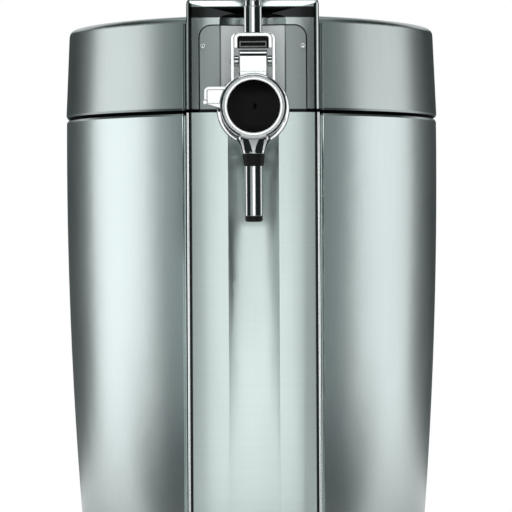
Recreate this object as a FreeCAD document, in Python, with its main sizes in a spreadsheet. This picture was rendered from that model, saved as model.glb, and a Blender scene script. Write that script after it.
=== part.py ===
import FreeCAD, Part
import math
import os

import Sketcher

# Mini keg beer dispenser: a cooled barrel body for one small keg, a hinged lid, and a lever
# tap in a front column.  Millimetres, +Z up, front towards -Y, floor at Z = 0.
# The barrel's front arc is centred on the Z axis.  Every size is kept in one spreadsheet.

SIZES = {
    # Barrel body
    "body_room": 28.3,  # room between the insulation and the barrel's front arc
    "waist_in": 2.1,  # barrel's radius at the waist, less than at the seam
    "skirt_in": 12.3,  # barrel's radius at its lower edge, less than at the seam
    "waist_height": 190.0,  # height at which the waist radius is measured
    "base_tall": 15.0,  # height of the base
    "seam_height": 342.4,  # top of the body, where the lid closes
    "rear_room": 83.0,  # room behind the insulation for the cooling train
    "rear_flat": 2.7,  # flat strip between a back corner and the rear cover
    "shell_wall": 2.0,  # thickness of the steel shells
    "edge_roll": 1.5,  # roll of the shells at the seam
    "flank_roll": 2.8,  # roll of the shells' long edges
    "flank_deep": 5.0,  # return of those edges beside the column
    "part_gap": 0.3,  # clearance between separate pieces
    "small_bevel": 1.0,  # bevel of small edges

    # Front column
    "column_half": 48.0,  # half the width of the column
    "column_out": 14.7,  # column ahead of the barrel
    "key_tall": 18.0,  # key that holds the column's foot, above the base
    "column_lap": 22.3,  # column's side walls inside the barrel
    "column_wall": 2.5,  # wall of the column
    "column_edge": 1.1,  # radius of the bead along the column's long edges
    "trim_groove": 1.2,  # groove inside that bead
    "groove_deep": 1.4,  # depth of that groove
    "face_radius": 300.0,  # crown of the column's front face
    "column_gap": 0.5,  # gap between the column and the shells
    "channel_half": 18.4,  # half the width of the centre channel
    "channel_deep": 3.4,  # depth of the channel at its top
    "channel_shallow": 1.4,  # depth of the channel at its foot
    "light_radius": 2.2,  # ready light lens
    "light_in": 15.0,  # ready light from the column's edge
    "light_height": 47.0,  # ready light above the floor
    "light_length": 7.0,  # ready light lens, front to back
    "light_bevel": 0.8,  # bevel of the lens

    # Lid
    "lid_gap": 2.6,  # shadow gap between the body and the lid
    "lid_out": 0.3,  # lid beyond the barrel at the seam
    "crown_in": 2.7,  # taper of the lid's side
    "lid_bow": 3300.0,  # crown of the lid from side to side
    "lid_wall_tall": 66.2,  # height of the lid's side shells above the seam
    "lid_top_thick": 5.4,  # thickness of the lid's top
    "lid_top_round": 4.8,  # rounding of the lid's top edge
    "spine_rise": 17.0,  # spine above the lid's top
    "cover_roll": 21.0,  # roll of the spine's front and back ends
    "cover_corner": 11.0,  # roll of the spine's upper corners
    "cover_wall": 3.0,  # wall of the spine cover
    "cover_front": 14.0,  # thickness of the cover's front
    "cover_edge": 4.5,  # radius of the cover's front edges
    "arch_side": 9.7,  # cover beside the tap console
    "arch_drop": 26.0,  # tap console below the top of the spine
    "arch_corner": 8.3,  # upper corners of the tap console
    "arch_gap": 0.9,  # gap between the console and the lid
    "reveal_tall": 2.3,  # shadow gap under the console's front
    "reveal_deep": 3.5,  # depth of that gap
    "niche_side": 14.3,  # console beside the niche
    "niche_depth": 4.5,  # depth of the niche
    "niche_drop": 17.4,  # niche below the top of the spine
    "niche_round": 4.0,  # roll of the niche's upper end
    "rim_thick": 2.8,  # thickness of the lid's lower rim
    "rim_rise": 0.6,  # rim above the lid's lower edge
    "dome_out": 9.0,  # inner dome outside the keg's bore
    "dome_wall": 2.5,  # wall of the inner dome
    "dome_drop": 1.9,  # inner dome below the lid's top
    "dome_lip": 6.5,  # width of the inner dome's flange
    "dome_flange_thick": 2.0,  # thickness of that flange
    "gasket_out": 7.5,  # lid gasket outside the keg's bore
    "gasket_wide": 6.0,  # width of the lid gasket
    "rim_play": 0.7,  # gap between the gasket and the lid's rim

    # Hinge and release
    "hinge_out": 13.0,  # hinge axis behind the barrel's flat back
    "knuckle_gap": 0.5,  # gap under the lid's knuckle
    "knuckle_wall": 3.0,  # wall of the hinge knuckles
    "hinge_pin_radius": 2.5,  # hinge pin
    "pin_proud": 1.0,  # hinge pins beyond their lugs
    "pin_play": 0.05,  # running clearance of a pin in its bore
    "lug_inner": 22.0,  # inner face of the body's hinge lugs
    "lug_wide": 8.0,  # width of a hinge lug
    "bracket_thick": 2.0,  # foot plate of the hinge bracket
    "arm_thick": 2.8,  # plate of the lid's hinge arm
    "arm_rise": 27.0,  # top of the lid's hinge arm above the seam
    "button_room": 5.3,  # button's stem ahead of the opening in the rim
    "button_radius": 9.0,  # release button
    "collar_lap": 2.0,  # collar that holds the button in
    "button_proud": 1.2,  # button above the spine
    "button_stem": 3.0,  # radius of the button's stem
    "spring_room": 7.4,  # height of the button spring
    "stem_above": 4.3,  # button's stem above the catch plate
    "catch_thick": 1.2,  # catch plate
    "catch_half": 5.0,  # half the side of the catch plate
    "spring_wire": 0.5,  # radius of the button spring's wire
    "spring_radius": 4.9,  # mean radius of the button spring
    "spring_turns": 5.0,  # turns of the button spring

    # Cooled chamber
    "keg_bore": 88.0,  # inside radius of the keg chamber
    "liner_wall": 1.5,  # wall of the chamber liner
    "liner_bottom": 84.0,  # underside of the liner
    "flange_wide": 6.0,  # width of the liner's flange
    "liner_flange_thick": 1.2,  # thickness of that flange
    "deck_thick": 6.0,  # top deck of the body
    "foam_thick": 22.2,  # thickness of the insulation
    "foam_drop": 6.0,  # insulation below the top deck
    "foam_floor": 17.7,  # insulation under the liner
    "stand_in": 12.0,  # chamber stand inside the insulation's edge
    "stand_wall": 3.0,  # wall of the chamber stand
    "stand_window": 40.0,  # half the width of the stand's air windows
    "cold_half": 30.0,  # half the side of the cold block
    "cooler_height": 180.0,  # middle height of the cooling train
    "peltier_half": 20.0,  # half the side of the thermoelectric module
    "peltier_thick": 4.0,  # thickness of the thermoelectric module
    "sink_half": 45.0,  # half the width of the heat sink
    "sink_base": 6.0,  # base plate of the heat sink
    "sink_depth": 34.0,  # whole depth of the heat sink
    "fin_thick": 1.6,  # thickness of a fin
    "fin_count": 12.0,  # number of fins
    "fan_rim": 2.5,  # rim of the fan frame beside its bore
    "fan_depth": 25.0,  # depth of the fan frame
    "fan_play": 1.5,  # gap round the blades
    "fan_tip": 42.0,  # tip radius of the blades
    "fan_set": 2.0,  # fan hub behind the heat sink
    "fan_hub": 16.0,  # radius of the fan hub
    "motor_lap": 1.0,  # motor mount beyond the fan hub
    "motor_thick": 4.0,  # thickness of the motor mount
    "strut_half": 2.0,  # half the width of a fan strut
    "blade_count": 7.0,  # number of blades
    "blade_sweep": 9.0,  # sideways slope of a blade
    "blade_thick": 1.8,  # thickness of a blade
    "shaft_radius": 1.5,  # fan shaft

    # Base, back and power
    "foot_height": 5.0,  # height of the rubber feet
    "foot_tread": 8.0,  # radius of a foot at the floor
    "foot_top": 9.5,  # radius of a foot at the base
    "foot_side": 36.0,  # feet inside the barrel's side
    "foot_ahead": 62.0,  # front feet behind the barrel's front
    "foot_behind": 55.0,  # rear feet ahead of the barrel's back
    "floor_thick": 3.0,  # floor of the base
    "base_inset": 1.0,  # base inside the shell's lower edge
    "rim_tall": 10.0,  # rim that centres the shells
    "base_wall": 3.0,  # wall of the base
    "shelf_side": 4.0,  # shelf under the tray, beside the column
    "shelf_thick": 6.0,  # thickness of that shelf
    "slot_long": 60.0,  # length of an air slot in the base
    "slot_wide": 4.0,  # width of the air slots
    "slot_pitch": 9.0,  # spacing of the air slots
    "base_slots": 5.0,  # air slots in the base
    "cover_half": 69.8,  # half the width of the rear cover
    "cover_lap": 5.0,  # rear cover inside the barrel
    "cover_deep": 28.0,  # rear cover behind the barrel's flat back
    "cover_lift": 1.0,  # rear cover above the base's rim
    "rear_wall": 2.5,  # wall of the rear cover
    "rear_round": 12.0,  # upright corners of the rear cover
    "vent_long": 90.0,  # length of a vent in the rear cover
    "vent_count": 11.0,  # vents in the rear cover
    "screw_head": 3.6,  # radius of a screw head
    "screw_shank": 1.6,  # radius of a screw
    "screw_proud": 2.0,  # height of a screw head
    "screw_length": 8.0,  # length of a screw under its head
    "screw_inset": 7.0,  # screws from the cover's edges
    "power_rise": 33.0,  # inlet and switch above the rear cover's lower end
    "inlet_across": -29.0,  # middle of the power inlet
    "inlet_half": 14.0,  # half the width of the power inlet
    "inlet_rise": 11.0,  # half the height of the power inlet
    "inlet_depth": 18.0,  # power inlet behind the wall's outside
    "inlet_recess": 13.0,  # depth of the inlet's socket
    "inlet_wall": 3.0,  # wall of the power inlet
    "inlet_cut": 4.0,  # cut corners of the inlet's socket
    "prong_half": 1.0,  # half the thickness of a prong
    "prong_rise": 2.5,  # half the height of a prong
    "prong_pitch": 6.0,  # spacing of the prongs
    "prong_step": 2.0,  # middle prong above the others
    "prong_set": 2.0,  # prongs behind the wall's outside
    "bezel_proud": 1.4,  # inlet and switch frames above the wall
    "switch_across": 27.0,  # middle of the switch
    "frame_side": 2.7,  # switch frame beside its window
    "frame_rim": 1.7,  # switch frame above and below its window
    "rocker_half": 9.5,  # half the width of the rocker
    "rocker_radius": 10.8,  # radius of the rocker's face
    "rocker_chord": 7.0,  # half the height of the rocker's face
    "rocker_window": 9.3,  # half the height of the frame's window
    "rocker_tilt": 7.0,  # tilt of the rocker when off
    "rocker_set": 10.0,  # rocker pivot inside the rear cover's outside
    "rocker_pin": 1.4,  # rocker pivot pin
    "rocker_neck": 2.5,  # half the height of the rocker's neck
    "rocker_heel": 3.0,  # rocker behind its pivot
    "supply_wide": 60.0,  # power supply, sideways
    "supply_long": 80.0,  # power supply, front to back
    "supply_tall": 30.0,  # power supply, height
    "board_wide": 65.0,  # control board, sideways
    "board_long": 80.0,  # control board, front to back
    "board_thick": 1.6,  # control board, thickness
    "board_rise": 6.0,  # control board above the floor plate
    "bay_gap": 10.0,  # half the gap between supply and board
    "supply_round": 3.0,  # upright edges of the power supply
    "post_radius": 2.5,  # posts under the board
    "post_inset": 5.0,  # posts from the board's edges
    "can_radius": 6.0,  # capacitors on the board
    "can_tall": 14.0,  # height of the capacitors
    "can_spread": 10.0,  # capacitors, forward and back of the middle
    "can_inset": 18.0,  # capacitors from the board's inner edge
    "chip_half": 10.0,  # half the side of the power chip
    "chip_tall": 3.0,  # height of the power chip
    "chip_inset": 43.0,  # power chip from the board's inner edge

    # Drip tray
    "tray_side": 5.0,  # tray beyond the shelf on each side
    "tray_room": 13.0,  # centre of the tray's round front, ahead of the column
    "tray_play": 1.5,  # tray ahead of the column
    "tray_height": 21.0,  # height of the tray
    "tray_wall": 2.4,  # wall of the tray
    "grille_thick": 2.5,  # thickness of the grille
    "grille_ledge": 1.2,  # ledge that carries the grille
    "grille_border": 7.0,  # solid border of the grille
    "bar_pitch": 7.0,  # spacing of the grille's slots
    "bar_slot": 4.2,  # width of the grille's slots
    "grille_slots": 13.0,  # slots in the grille

    # Tap
    "badge_rise": 2.4,  # middle of the round badge above the seam
    "flange_radius": 26.0,  # round flange behind the tap
    "flange_gap": 0.4,  # gap round the flange
    "flange_set": 6.0,  # flange let into the column
    "flange_thick": 7.0,  # thickness of the flange
    "tap_wall": 5.1,  # wall of the tap body beside its bore
    "tap_drop": 20.8,  # underside of the tap body below the badge's middle
    "tap_deep": 30.0,  # tap body ahead of the flange
    "shoulder_rise": 19.2,  # top of the tap body's front face above the badge's middle
    "tap_edge": 0.8,  # rounded front edges of the tap body
    "tap_chin": 8.0,  # front slope of the tap body below the pivot
    "tap_top_radius": 7.5,  # head of the tap body round the pivot
    "tap_corner": 4.5,  # front corner of that head
    "pivot_out": 14.0,  # lever pivot ahead of the flange
    "pivot_rise": 33.7,  # lever pivot above the badge's middle
    "pivot_radius": 2.4,  # lever pivot pin
    "collar_wall": 1.6,  # shoulders on the pivot pin
    "spout_out": 18.0,  # spout axis ahead of the flange
    "valve_bore": 5.05,  # upright bore of the tap
    "valve_play": 0.1,  # clearance of the plunger in its bore
    "valve_rise": 19.5,  # upper end of the upright bore above the badge's middle
    "plunger_rise": 3.0,  # lower end of the plunger above the badge's middle
    "plunger_long": 10.0,  # length of the plunger
    "feed_rise": 8.5,  # feed bore above the badge's middle
    "feed_bore": 4.0,  # radius of the feed bore
    "hose_play": 3.0,  # opening in the console round the feed bore
    "valve_wire": 0.3,  # radius of the valve spring's wire
    "coil_in": 0.85,  # valve spring inside its bore
    "valve_turns": 4.0,  # turns of the valve spring
    "cone_gap": 0.1,  # gap over the spout cone
    "cone_tall": 12.4,  # height of the spout cone
    "cone_flare": 3.95,  # flare of the spout cone
    "cone_lap": 0.2,  # cone's foot beyond the seal
    "cone_band": 2.2,  # plain band at the top of the cone
    "spout_bore": 5.0,  # bore of the spout
    "seal_tall": 8.5,  # height of the rubber seal
    "seal_flare": 1.0,  # flare of the rubber seal
    "seal_lap": 0.5,  # rubber seal beyond the tube
    "tube_wall": 1.6,  # wall of the spout tube
    "tube_long": 36.0,  # length of the spout tube
    "tip_long": 4.0,  # length of the spout tip
    "tip_wall": 1.2,  # rubber tip beyond the spout's bore
    "tip_lip": 0.7,  # lip inside the spout tip

    # Lever
    "yoke_room": 3.45,  # room between the tap body and the yoke's legs
    "yoke_bar": 2.5,  # thickness of the yoke's frame and of its legs
    "yoke_cheek": 5.0,  # width of the yoke's cheeks beside the insert
    "yoke_step": 2.4,  # set-back edge along the outside of the yoke
    "step_deep": 1.4,  # how far that edge is set back
    "yoke_rise": 20.0,  # top of the yoke above the pivot
    "yoke_corner": 4.2,  # upper corners of the yoke
    "yoke_drop": 18.5,  # lower ends of the yoke's legs below the pivot
    "yoke_deep": 10.0,  # yoke, front to back
    "pivot_proud": 0.6,  # pivot pin beyond the yoke
    "insert_gap": 1.5,  # insert above the head of the tap body
    "insert_deep": 7.0,  # insert, front to back
    "frame_half": 9.8,  # half the width of the slot frame
    "frame_rise": 0.5,  # slot frame above the insert's underside
    "frame_tall": 4.5,  # height of the slot frame
    "frame_bar": 1.0,  # bar of the slot frame
    "frame_proud": 0.9,  # slot frame ahead of the insert
    "stem_radius": 7.0,  # lever stem
    "stem_long": 19.0,  # length of the lever stem
    "ferrule_radius": 6.3,  # ferrule
    "ferrule_groove": 0.8,  # groove round the ferrule
    "ferrule_long": 10.0,  # length of the ferrule
    "grip_foot": 8.0,  # radius of the grip at its foot
    "grip_waist": 9.0,  # radius of the grip at its waist
    "grip_head": 12.5,  # radius of the grip at its head
    "waist_rise": 35.0,  # grip's waist above the ferrule
    "grip_long": 85.0,  # length of the grip
    "grip_shoulder": 6.0,  # height of the grip's shoulder
    "grip_inset": 3.0,  # shoulder of the grip, drawn in
    "grip_round": 8.0,  # roll of the grip's shoulder
    "cap_radius": 10.0,  # cap of the grip
    "cap_tall": 4.0,  # height of the cap

    # Badge door
    "ring_radius": 23.7,  # outside of the badge ring
    "ring_wide": 4.8,  # width of the badge ring
    "ring_gap": 1.0,  # badge ring ahead of the tap body
    "ring_deep": 9.0,  # depth of the badge ring
    "ring_roll": 2.2,  # rolled outside of the badge ring
    "ring_flat": 2.0,  # flat lip round the badge disc
    "ring_groove": 0.8,  # depth of the groove between the lip and the roll
    "ring_plate": 1.5,  # back plate of the badge ring
    "disc_play": 0.2,  # gap round the badge disc
    "disc_sunk": 3.0,  # badge disc's rim behind the ring's front
    "disc_crown": 0.9,  # crown of the disc
    "tab_out": 11.7,  # opening tab beyond the ring
    "tab_up": 14.4,  # top of the opening tab above the badge's middle
    "tab_down": 1.9,  # underside of the opening tab below the badge's middle
    "tab_thick": 4.0,  # opening tab, front to back
    "tab_corner": 3.6,  # corner of the opening tab
    "tab_rim": 2.3,  # raised rim of the opening tab
    "tab_recess": 1.4,  # depth of the tab inside its rim
    "tab_stud": 1.7,  # radius of the stud at the tab's lower corner
    "tab_slant": 4.2,  # slanted lower corner of the opening tab
    "door_in": 3.2,  # badge hinge inside the ring's outside
    "door_set": 10.0,  # badge hinge behind the badge ring
    "door_pin": 1.2,  # pin of the badge hinge
    "door_wall": 1.2,  # wall of the badge hinge's knuckles
    "door_half": 5.0,  # half the height of the door's knuckle
    "door_lug": 4.0,  # height of a lug of the badge hinge
}

# Sizes that follow from the ones above.
FOLLOWS = {
    "shell_bottom": "foot_height + base_tall",  # lower edge of the steel shells
    "column_key": "shell_bottom + key_tall",  # top of the key that holds the column's foot
    "light_across": "column_half - light_in",  # ready light, sideways from the middle
    "lid_wall_top": "seam_height + lid_wall_tall",  # upper edge of the lid's side shells
    "lid_top_height": "lid_wall_top + lid_top_thick",  # top of the lid
    "cover_top": "lid_top_height + spine_rise",  # top of the raised spine
    "arch_half": "column_half - arch_side",  # half the width of the tap console
    "arch_top": "cover_top - arch_drop",  # top of the tap console
    "niche_half": "arch_half - niche_side",  # half the width of the niche behind the tap
    "niche_top": "cover_top - niche_drop",  # upper end of the niche
    "notch_half": "column_half + column_gap + shell_wall + part_gap",  # room for the column and the returns
    "dome_radius": "keg_bore + dome_out",  # outside of the lid's inner dome
    "dome_flange": "dome_radius + dome_lip",  # flange of the inner dome
    "gasket_inner": "keg_bore + gasket_out",  # inside of the lid gasket
    "gasket_outer": "gasket_inner + gasket_wide",  # outside of the lid gasket
    "rim_bore": "gasket_outer + rim_play",  # opening in the lid's rim
    "knuckle_radius": "hinge_pin_radius + knuckle_wall",  # hinge knuckles
    "hinge_rise": "bracket_thick + knuckle_gap + knuckle_radius",  # hinge axis above the seam
    "arm_top": "seam_height + arm_rise",  # top of the lid's hinge arm
    "button_forward": "rim_bore + button_room",  # release button ahead of the arc centre
    "button_flange": "button_radius + collar_lap",  # collar that holds the button in
    "collar_low": "lid_top_height + spring_room",  # underside of the button's collar
    "liner_flange": "keg_bore + flange_wide",  # flange of the liner on the deck
    "foam_radius": "keg_bore + liner_wall + part_gap + foam_thick",  # outside of the insulation
    "body_radius": "foam_radius + body_room",  # front arc of the barrel at the lid seam
    "waist_radius": "body_radius - waist_in",  # front arc of the barrel at waist height
    "skirt_radius": "body_radius - skirt_in",  # front arc of the barrel at its lower edge
    "rear_depth": "foam_radius + rear_room",  # flat back of the barrel, behind the arc centre
    "rear_corner": "skirt_radius - cover_half - column_gap - rear_flat",  # plan radius of the back corners
    "column_reach": "body_radius + column_out",  # front of the column, ahead of the arc centre
    "column_back": "body_radius - column_lap",  # rear edge of the column's side walls
    "lid_radius": "body_radius + lid_out",  # front arc of the lid at the seam
    "crown_radius": "lid_radius - crown_in",  # front arc of the lid under its top
    "hinge_back": "rear_depth + hinge_out",  # hinge axis behind the arc centre
    "foam_top": "seam_height - deck_thick - foam_drop",  # top of the insulation
    "foam_bottom": "liner_bottom - part_gap - foam_floor",  # underside of the insulation
    "stand_radius": "foam_radius - stand_in",  # outside of the chamber stand
    "cold_back": "foam_radius",  # back face of the cold block
    "fin_pitch": "(sink_half * 2 - fin_thick) / (fin_count - 1)",  # fin spacing
    "fan_bore": "fan_tip + fan_play",  # bore of the fan frame
    "fan_half": "fan_bore + fan_rim",  # half the side of the fan frame
    "motor_radius": "fan_hub + motor_lap",  # motor mount of the fan frame
    "foot_across": "skirt_radius - foot_side",  # feet, sideways from the middle
    "foot_front": "skirt_radius - foot_ahead",  # front feet ahead of the arc centre
    "foot_rear": "rear_depth - foot_behind",  # rear feet behind the arc centre
    "base_rim": "shell_bottom + rim_tall",  # top of the rim that centres the shells
    "shelf_half": "column_half + shelf_side",  # half the width of the shelf under the tray
    "shelf_top": "foot_height + shelf_thick",  # top of that shelf
    "cover_inset": "rear_depth - cover_lap",  # front edge of the rear cover
    "cover_back": "rear_depth + cover_deep",  # outside of the rear cover
    "cover_low": "base_rim + cover_lift",  # lower end of the rear cover
    "power_height": "cover_low + power_rise",  # middle of the inlet and the switch
    "switch_half": "rocker_half + part_gap + frame_side",  # half the width of the switch frame
    "switch_rise": "rocker_window + frame_rim",  # half the height of the switch frame
    "rocker_back": "cover_back - rocker_set",  # rocker pivot behind the arc centre
    "tray_half": "shelf_half + tray_side",  # half the width of the tray
    "tray_centre": "column_reach + tray_room",  # centre of the tray's round front
    "badge_height": "seam_height + badge_rise",  # middle of the round badge
    "flange_back": "column_reach - flange_set",  # back face of the flange
    "flange_front": "flange_back + flange_thick",  # front face of the flange
    "tap_half": "valve_bore + tap_wall",  # half the width of the tap body
    "tap_low": "badge_height - tap_drop",  # underside of the tap body
    "tap_front": "flange_front + tap_deep",  # front face of the tap body
    "tap_shoulder": "badge_height + shoulder_rise",  # top of the tap body's front face
    "pivot_forward": "flange_front + pivot_out",  # lever pivot ahead of the arc centre
    "pivot_height": "badge_height + pivot_rise",  # lever pivot above the floor
    "collar_radius": "pivot_radius + collar_wall",  # shoulders on the pivot pin
    "spout_forward": "flange_front + spout_out",  # spout axis ahead of the arc centre
    "valve_top": "badge_height + valve_rise",  # upper end of the upright bore
    "plunger_low": "badge_height + plunger_rise",  # lower end of the plunger
    "feed_height": "badge_height + feed_rise",  # height of the feed bore
    "hose_bore": "feed_bore + hose_play",  # opening for the beer tube in the console
    "valve_coil": "valve_bore - coil_in",  # mean radius of the valve spring
    "cone_top": "tap_low - cone_gap",  # top of the spout cone
    "cone_bottom": "cone_top - cone_tall",  # lower end of the spout cone
    "seal_bottom": "cone_bottom - seal_tall",  # lower end of the rubber seal
    "tube_radius": "spout_bore + tube_wall",  # outside of the spout tube
    "seal_narrow": "tube_radius + seal_lap",  # radius of the seal at its foot
    "seal_wide": "seal_narrow + seal_flare",  # radius of the seal at its top
    "cone_narrow": "seal_wide + cone_lap",  # radius of the cone at its foot
    "cone_wide": "cone_narrow + cone_flare",  # radius of the cone at its top
    "tube_bottom": "seal_bottom - tube_long",  # lower end of the spout tube
    "tip_bottom": "tube_bottom - tip_long",  # lower end of the spout tip
    "tip_radius": "spout_bore + tip_wall",  # outside of the spout tip
    "tip_bore": "spout_bore - tip_lip",  # bore of the spout tip
    "yoke_half": "tap_half + yoke_room + yoke_bar",  # half the width of the yoke
    "yoke_top": "pivot_height + yoke_rise",  # top of the yoke
    "yoke_low": "pivot_height - yoke_drop",  # lower ends of the yoke's legs
    "insert_low": "pivot_height + tap_top_radius + insert_gap",  # underside of the yoke's insert
    "frame_low": "insert_low + frame_rise",  # underside of the slot frame
    "stem_top": "yoke_top + stem_long",  # top of the lever stem
    "ferrule_top": "stem_top + ferrule_long",  # top of the ferrule
    "grip_waist_height": "ferrule_top + waist_rise",  # height of the grip's waist
    "grip_top": "ferrule_top + grip_long",  # top of the grip
    "cap_top": "grip_top + cap_tall",  # top of the cap
    "ring_inner": "ring_radius - ring_wide",  # inside of the badge ring
    "ring_back": "tap_front + ring_gap",  # back of the badge ring
    "ring_front": "ring_back + ring_deep",  # front of the badge ring
    "disc_radius": "ring_inner - disc_play",  # badge disc
    "disc_rim": "ring_front - disc_sunk",  # front of the disc at its rim
    "tab_reach": "ring_radius + tab_out",  # opening tab, sideways from the middle
    "tab_top": "badge_height + tab_up",  # top of the opening tab
    "tab_low": "badge_height - tab_down",  # underside of the opening tab
    "door_across": "ring_radius - door_in",  # badge hinge, sideways
    "door_forward": "ring_back - door_set",  # badge hinge ahead of the arc centre
    "door_knuckle": "door_pin + door_wall",  # knuckles of the badge hinge
}

LEFT = 1
RIGHT = -1
TOLERANCE = 1e-7
PAST = 1.0  # how far a cutting tool runs past a face
PLANES = {"XY": "XY_Plane", "XZ": "XZ_Plane", "YZ": "YZ_Plane"}

doc = FreeCAD.newDocument("keg_dispenser")
sheet = doc.addObject("Spreadsheet::Sheet", "sizes")
nodes = []


class Size:
    """A length together with the spreadsheet formula that gives it."""

    def __init__(self, value, text):
        self.value = float(value)
        self.text = text

    def _pair(self, other, sign, answer):
        return Size(answer, "(%s %s %s)" % (self.text, sign, other.text))

    def __add__(self, other):
        other = size(other)
        return self._pair(other, "+", self.value + other.value)

    def __sub__(self, other):
        other = size(other)
        return self._pair(other, "-", self.value - other.value)

    def __mul__(self, other):
        other = size(other)
        return self._pair(other, "*", self.value * other.value)

    def __truediv__(self, other):
        other = size(other)
        return self._pair(other, "/", self.value / other.value)

    def __radd__(self, other):
        return size(other) + self

    def __rsub__(self, other):
        return size(other) - self

    def __rmul__(self, other):
        return size(other) * self

    def __neg__(self):
        return Size(-self.value, "(0 - %s)" % self.text)


def size(value):
    """Turn a plain number into a Size, and leave a Size as it is."""
    if isinstance(value, Size):
        return value
    return Size(value, "%.6g" % value)


def root(value):
    """Square root of a Size."""
    return Size(math.sqrt(value.value), "sqrt(%s)" % value.text)


class Sheet:
    """Reads the driving sizes by name."""

    def __getattr__(self, name):
        return Size(sheet.get(name), "sizes." + name)


s = Sheet()


def fill_sheet():
    """Write every driving size, and the formulas of those that follow, into the spreadsheet."""
    cells = [(name, str(value)) for name, value in SIZES.items()]
    cells += [(name, "=" + formula) for name, formula in FOLLOWS.items()]
    for place, (name, content) in enumerate(cells):
        row = place + 1
        sheet.set("A%d" % row, name)
        sheet.set("B%d" % row, content)
        sheet.setAlias("B%d" % row, name)
    doc.recompute()


class Outline:
    """A closed outline, drawn point by point, with every point tied to the sheet."""

    def __init__(self, across, up):
        self.points = [(size(across), size(up))]
        self.edges = []

    def line(self, across, up):
        self.points.append((size(across), size(up)))
        self.edges.append(None)
        return self

    def arc(self, across, up, radius, turn):
        self.points.append((size(across), size(up)))
        self.edges.append((size(radius), turn))
        return self

    def mirrored(self):
        """The same outline on the other side of the middle plane."""
        twin = Outline(-self.points[0][0], self.points[0][1])
        for (across, up), edge in zip(self.points[1:], self.edges):
            if edge is None:
                twin.line(-across, up)
            else:
                twin.arc(-across, up, edge[0], -edge[1])
        return twin

    def doubled(self):
        """Close a half outline, from one point on the middle plane to another."""
        whole = Outline(*self.points[0])
        whole.points = list(self.points)
        whole.edges = list(self.edges)
        for place in range(len(self.edges) - 1, -1, -1):
            across, up = self.points[place]
            whole.points.append((-across if across.value else across, up))
            whole.edges.append(self.edges[place])
        return whole

    def draw(self, sketch):
        """Add the outline to a sketch."""
        points = list(self.points)
        edges = list(self.edges)
        first, last = points[0], points[-1]
        apart = abs(first[0].value - last[0].value) + abs(first[1].value - last[1].value)
        if apart > TOLERANCE:
            points.append(first)
            edges.append(None)
        ends = []
        for place, edge in enumerate(edges):
            begin = vector(points[place])
            end = vector(points[place + 1])
            if edge is None:
                index = sketch.addGeometry(Part.LineSegment(begin, end), False)
                ends.append((index, 1, 2))
                continue
            radius, turn = edge
            if turn == LEFT:
                index = sketch.addGeometry(turning_arc(begin, end, radius.value), False)
                ends.append((index, 1, 2))
            else:
                index = sketch.addGeometry(turning_arc(end, begin, radius.value), False)
                ends.append((index, 2, 1))
        for place, (index, begin, end) in enumerate(ends):
            follower = ends[(place + 1) % len(ends)]
            sketch.addConstraint(Sketcher.Constraint("Coincident", index, end,
                                                     follower[0], follower[1]))
            pin_point(sketch, index, begin, points[place])
        for place, edge in enumerate(edges):
            if edge is not None:
                bound(sketch, ("Radius", ends[place][0]), edge[0])


class Circle:
    """A round outline."""

    def __init__(self, across, up, radius):
        self.centre = (size(across), size(up))
        self.radius = size(radius)

    def draw(self, sketch):
        place = vector(self.centre)
        ring = Part.Circle(place, FreeCAD.Vector(0, 0, 1), self.radius.value)
        index = sketch.addGeometry(ring, False)
        pin_point(sketch, index, 3, self.centre)
        bound(sketch, ("Radius", index), self.radius)


def vector(point):
    return FreeCAD.Vector(point[0].value, point[1].value, 0)


def turning_arc(begin, end, radius):
    """The shorter arc that turns left from begin to end."""
    chord = end - begin
    half = chord.Length / 2
    rise = math.sqrt(max(radius * radius - half * half, 0.0))
    side = FreeCAD.Vector(-chord.y, chord.x, 0).normalize()
    centre = begin + chord * 0.5 + side * rise
    start = math.atan2(begin.y - centre.y, begin.x - centre.x)
    stop = math.atan2(end.y - centre.y, end.x - centre.x)
    ring = Part.Circle(centre, FreeCAD.Vector(0, 0, 1), radius)
    return Part.ArcOfCircle(ring, start, stop)


def bound(sketch, words, value):
    """Add one dimension to a sketch and tie it to the sheet."""
    index = sketch.addConstraint(Sketcher.Constraint(*words, value.value))
    sketch.setExpression("Constraints[%d]" % index, value.text)


def pin_point(sketch, index, corner, point):
    """Hold one corner of a sketch at its place."""
    across, up = point
    for value, axis, kind in ((across, -2, "DistanceX"), (up, -1, "DistanceY")):
        if abs(value.value) < TOLERANCE:
            sketch.addConstraint(Sketcher.Constraint("PointOnObject", index, corner, axis))
        else:
            bound(sketch, (kind, -1, 1, index, corner), value)


def block_outline(left, right, low, high):
    """A plain rectangle."""
    return Outline(left, low).line(right, low).line(right, high).line(left, high)


def round_block(half, low, high, radius):
    """A rectangle about the middle plane, with its upper corners rounded."""
    side = Outline(0, low).line(half, low).line(half, high - radius)
    return side.arc(half - radius, high, radius, LEFT).line(0, high).doubled()


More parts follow.
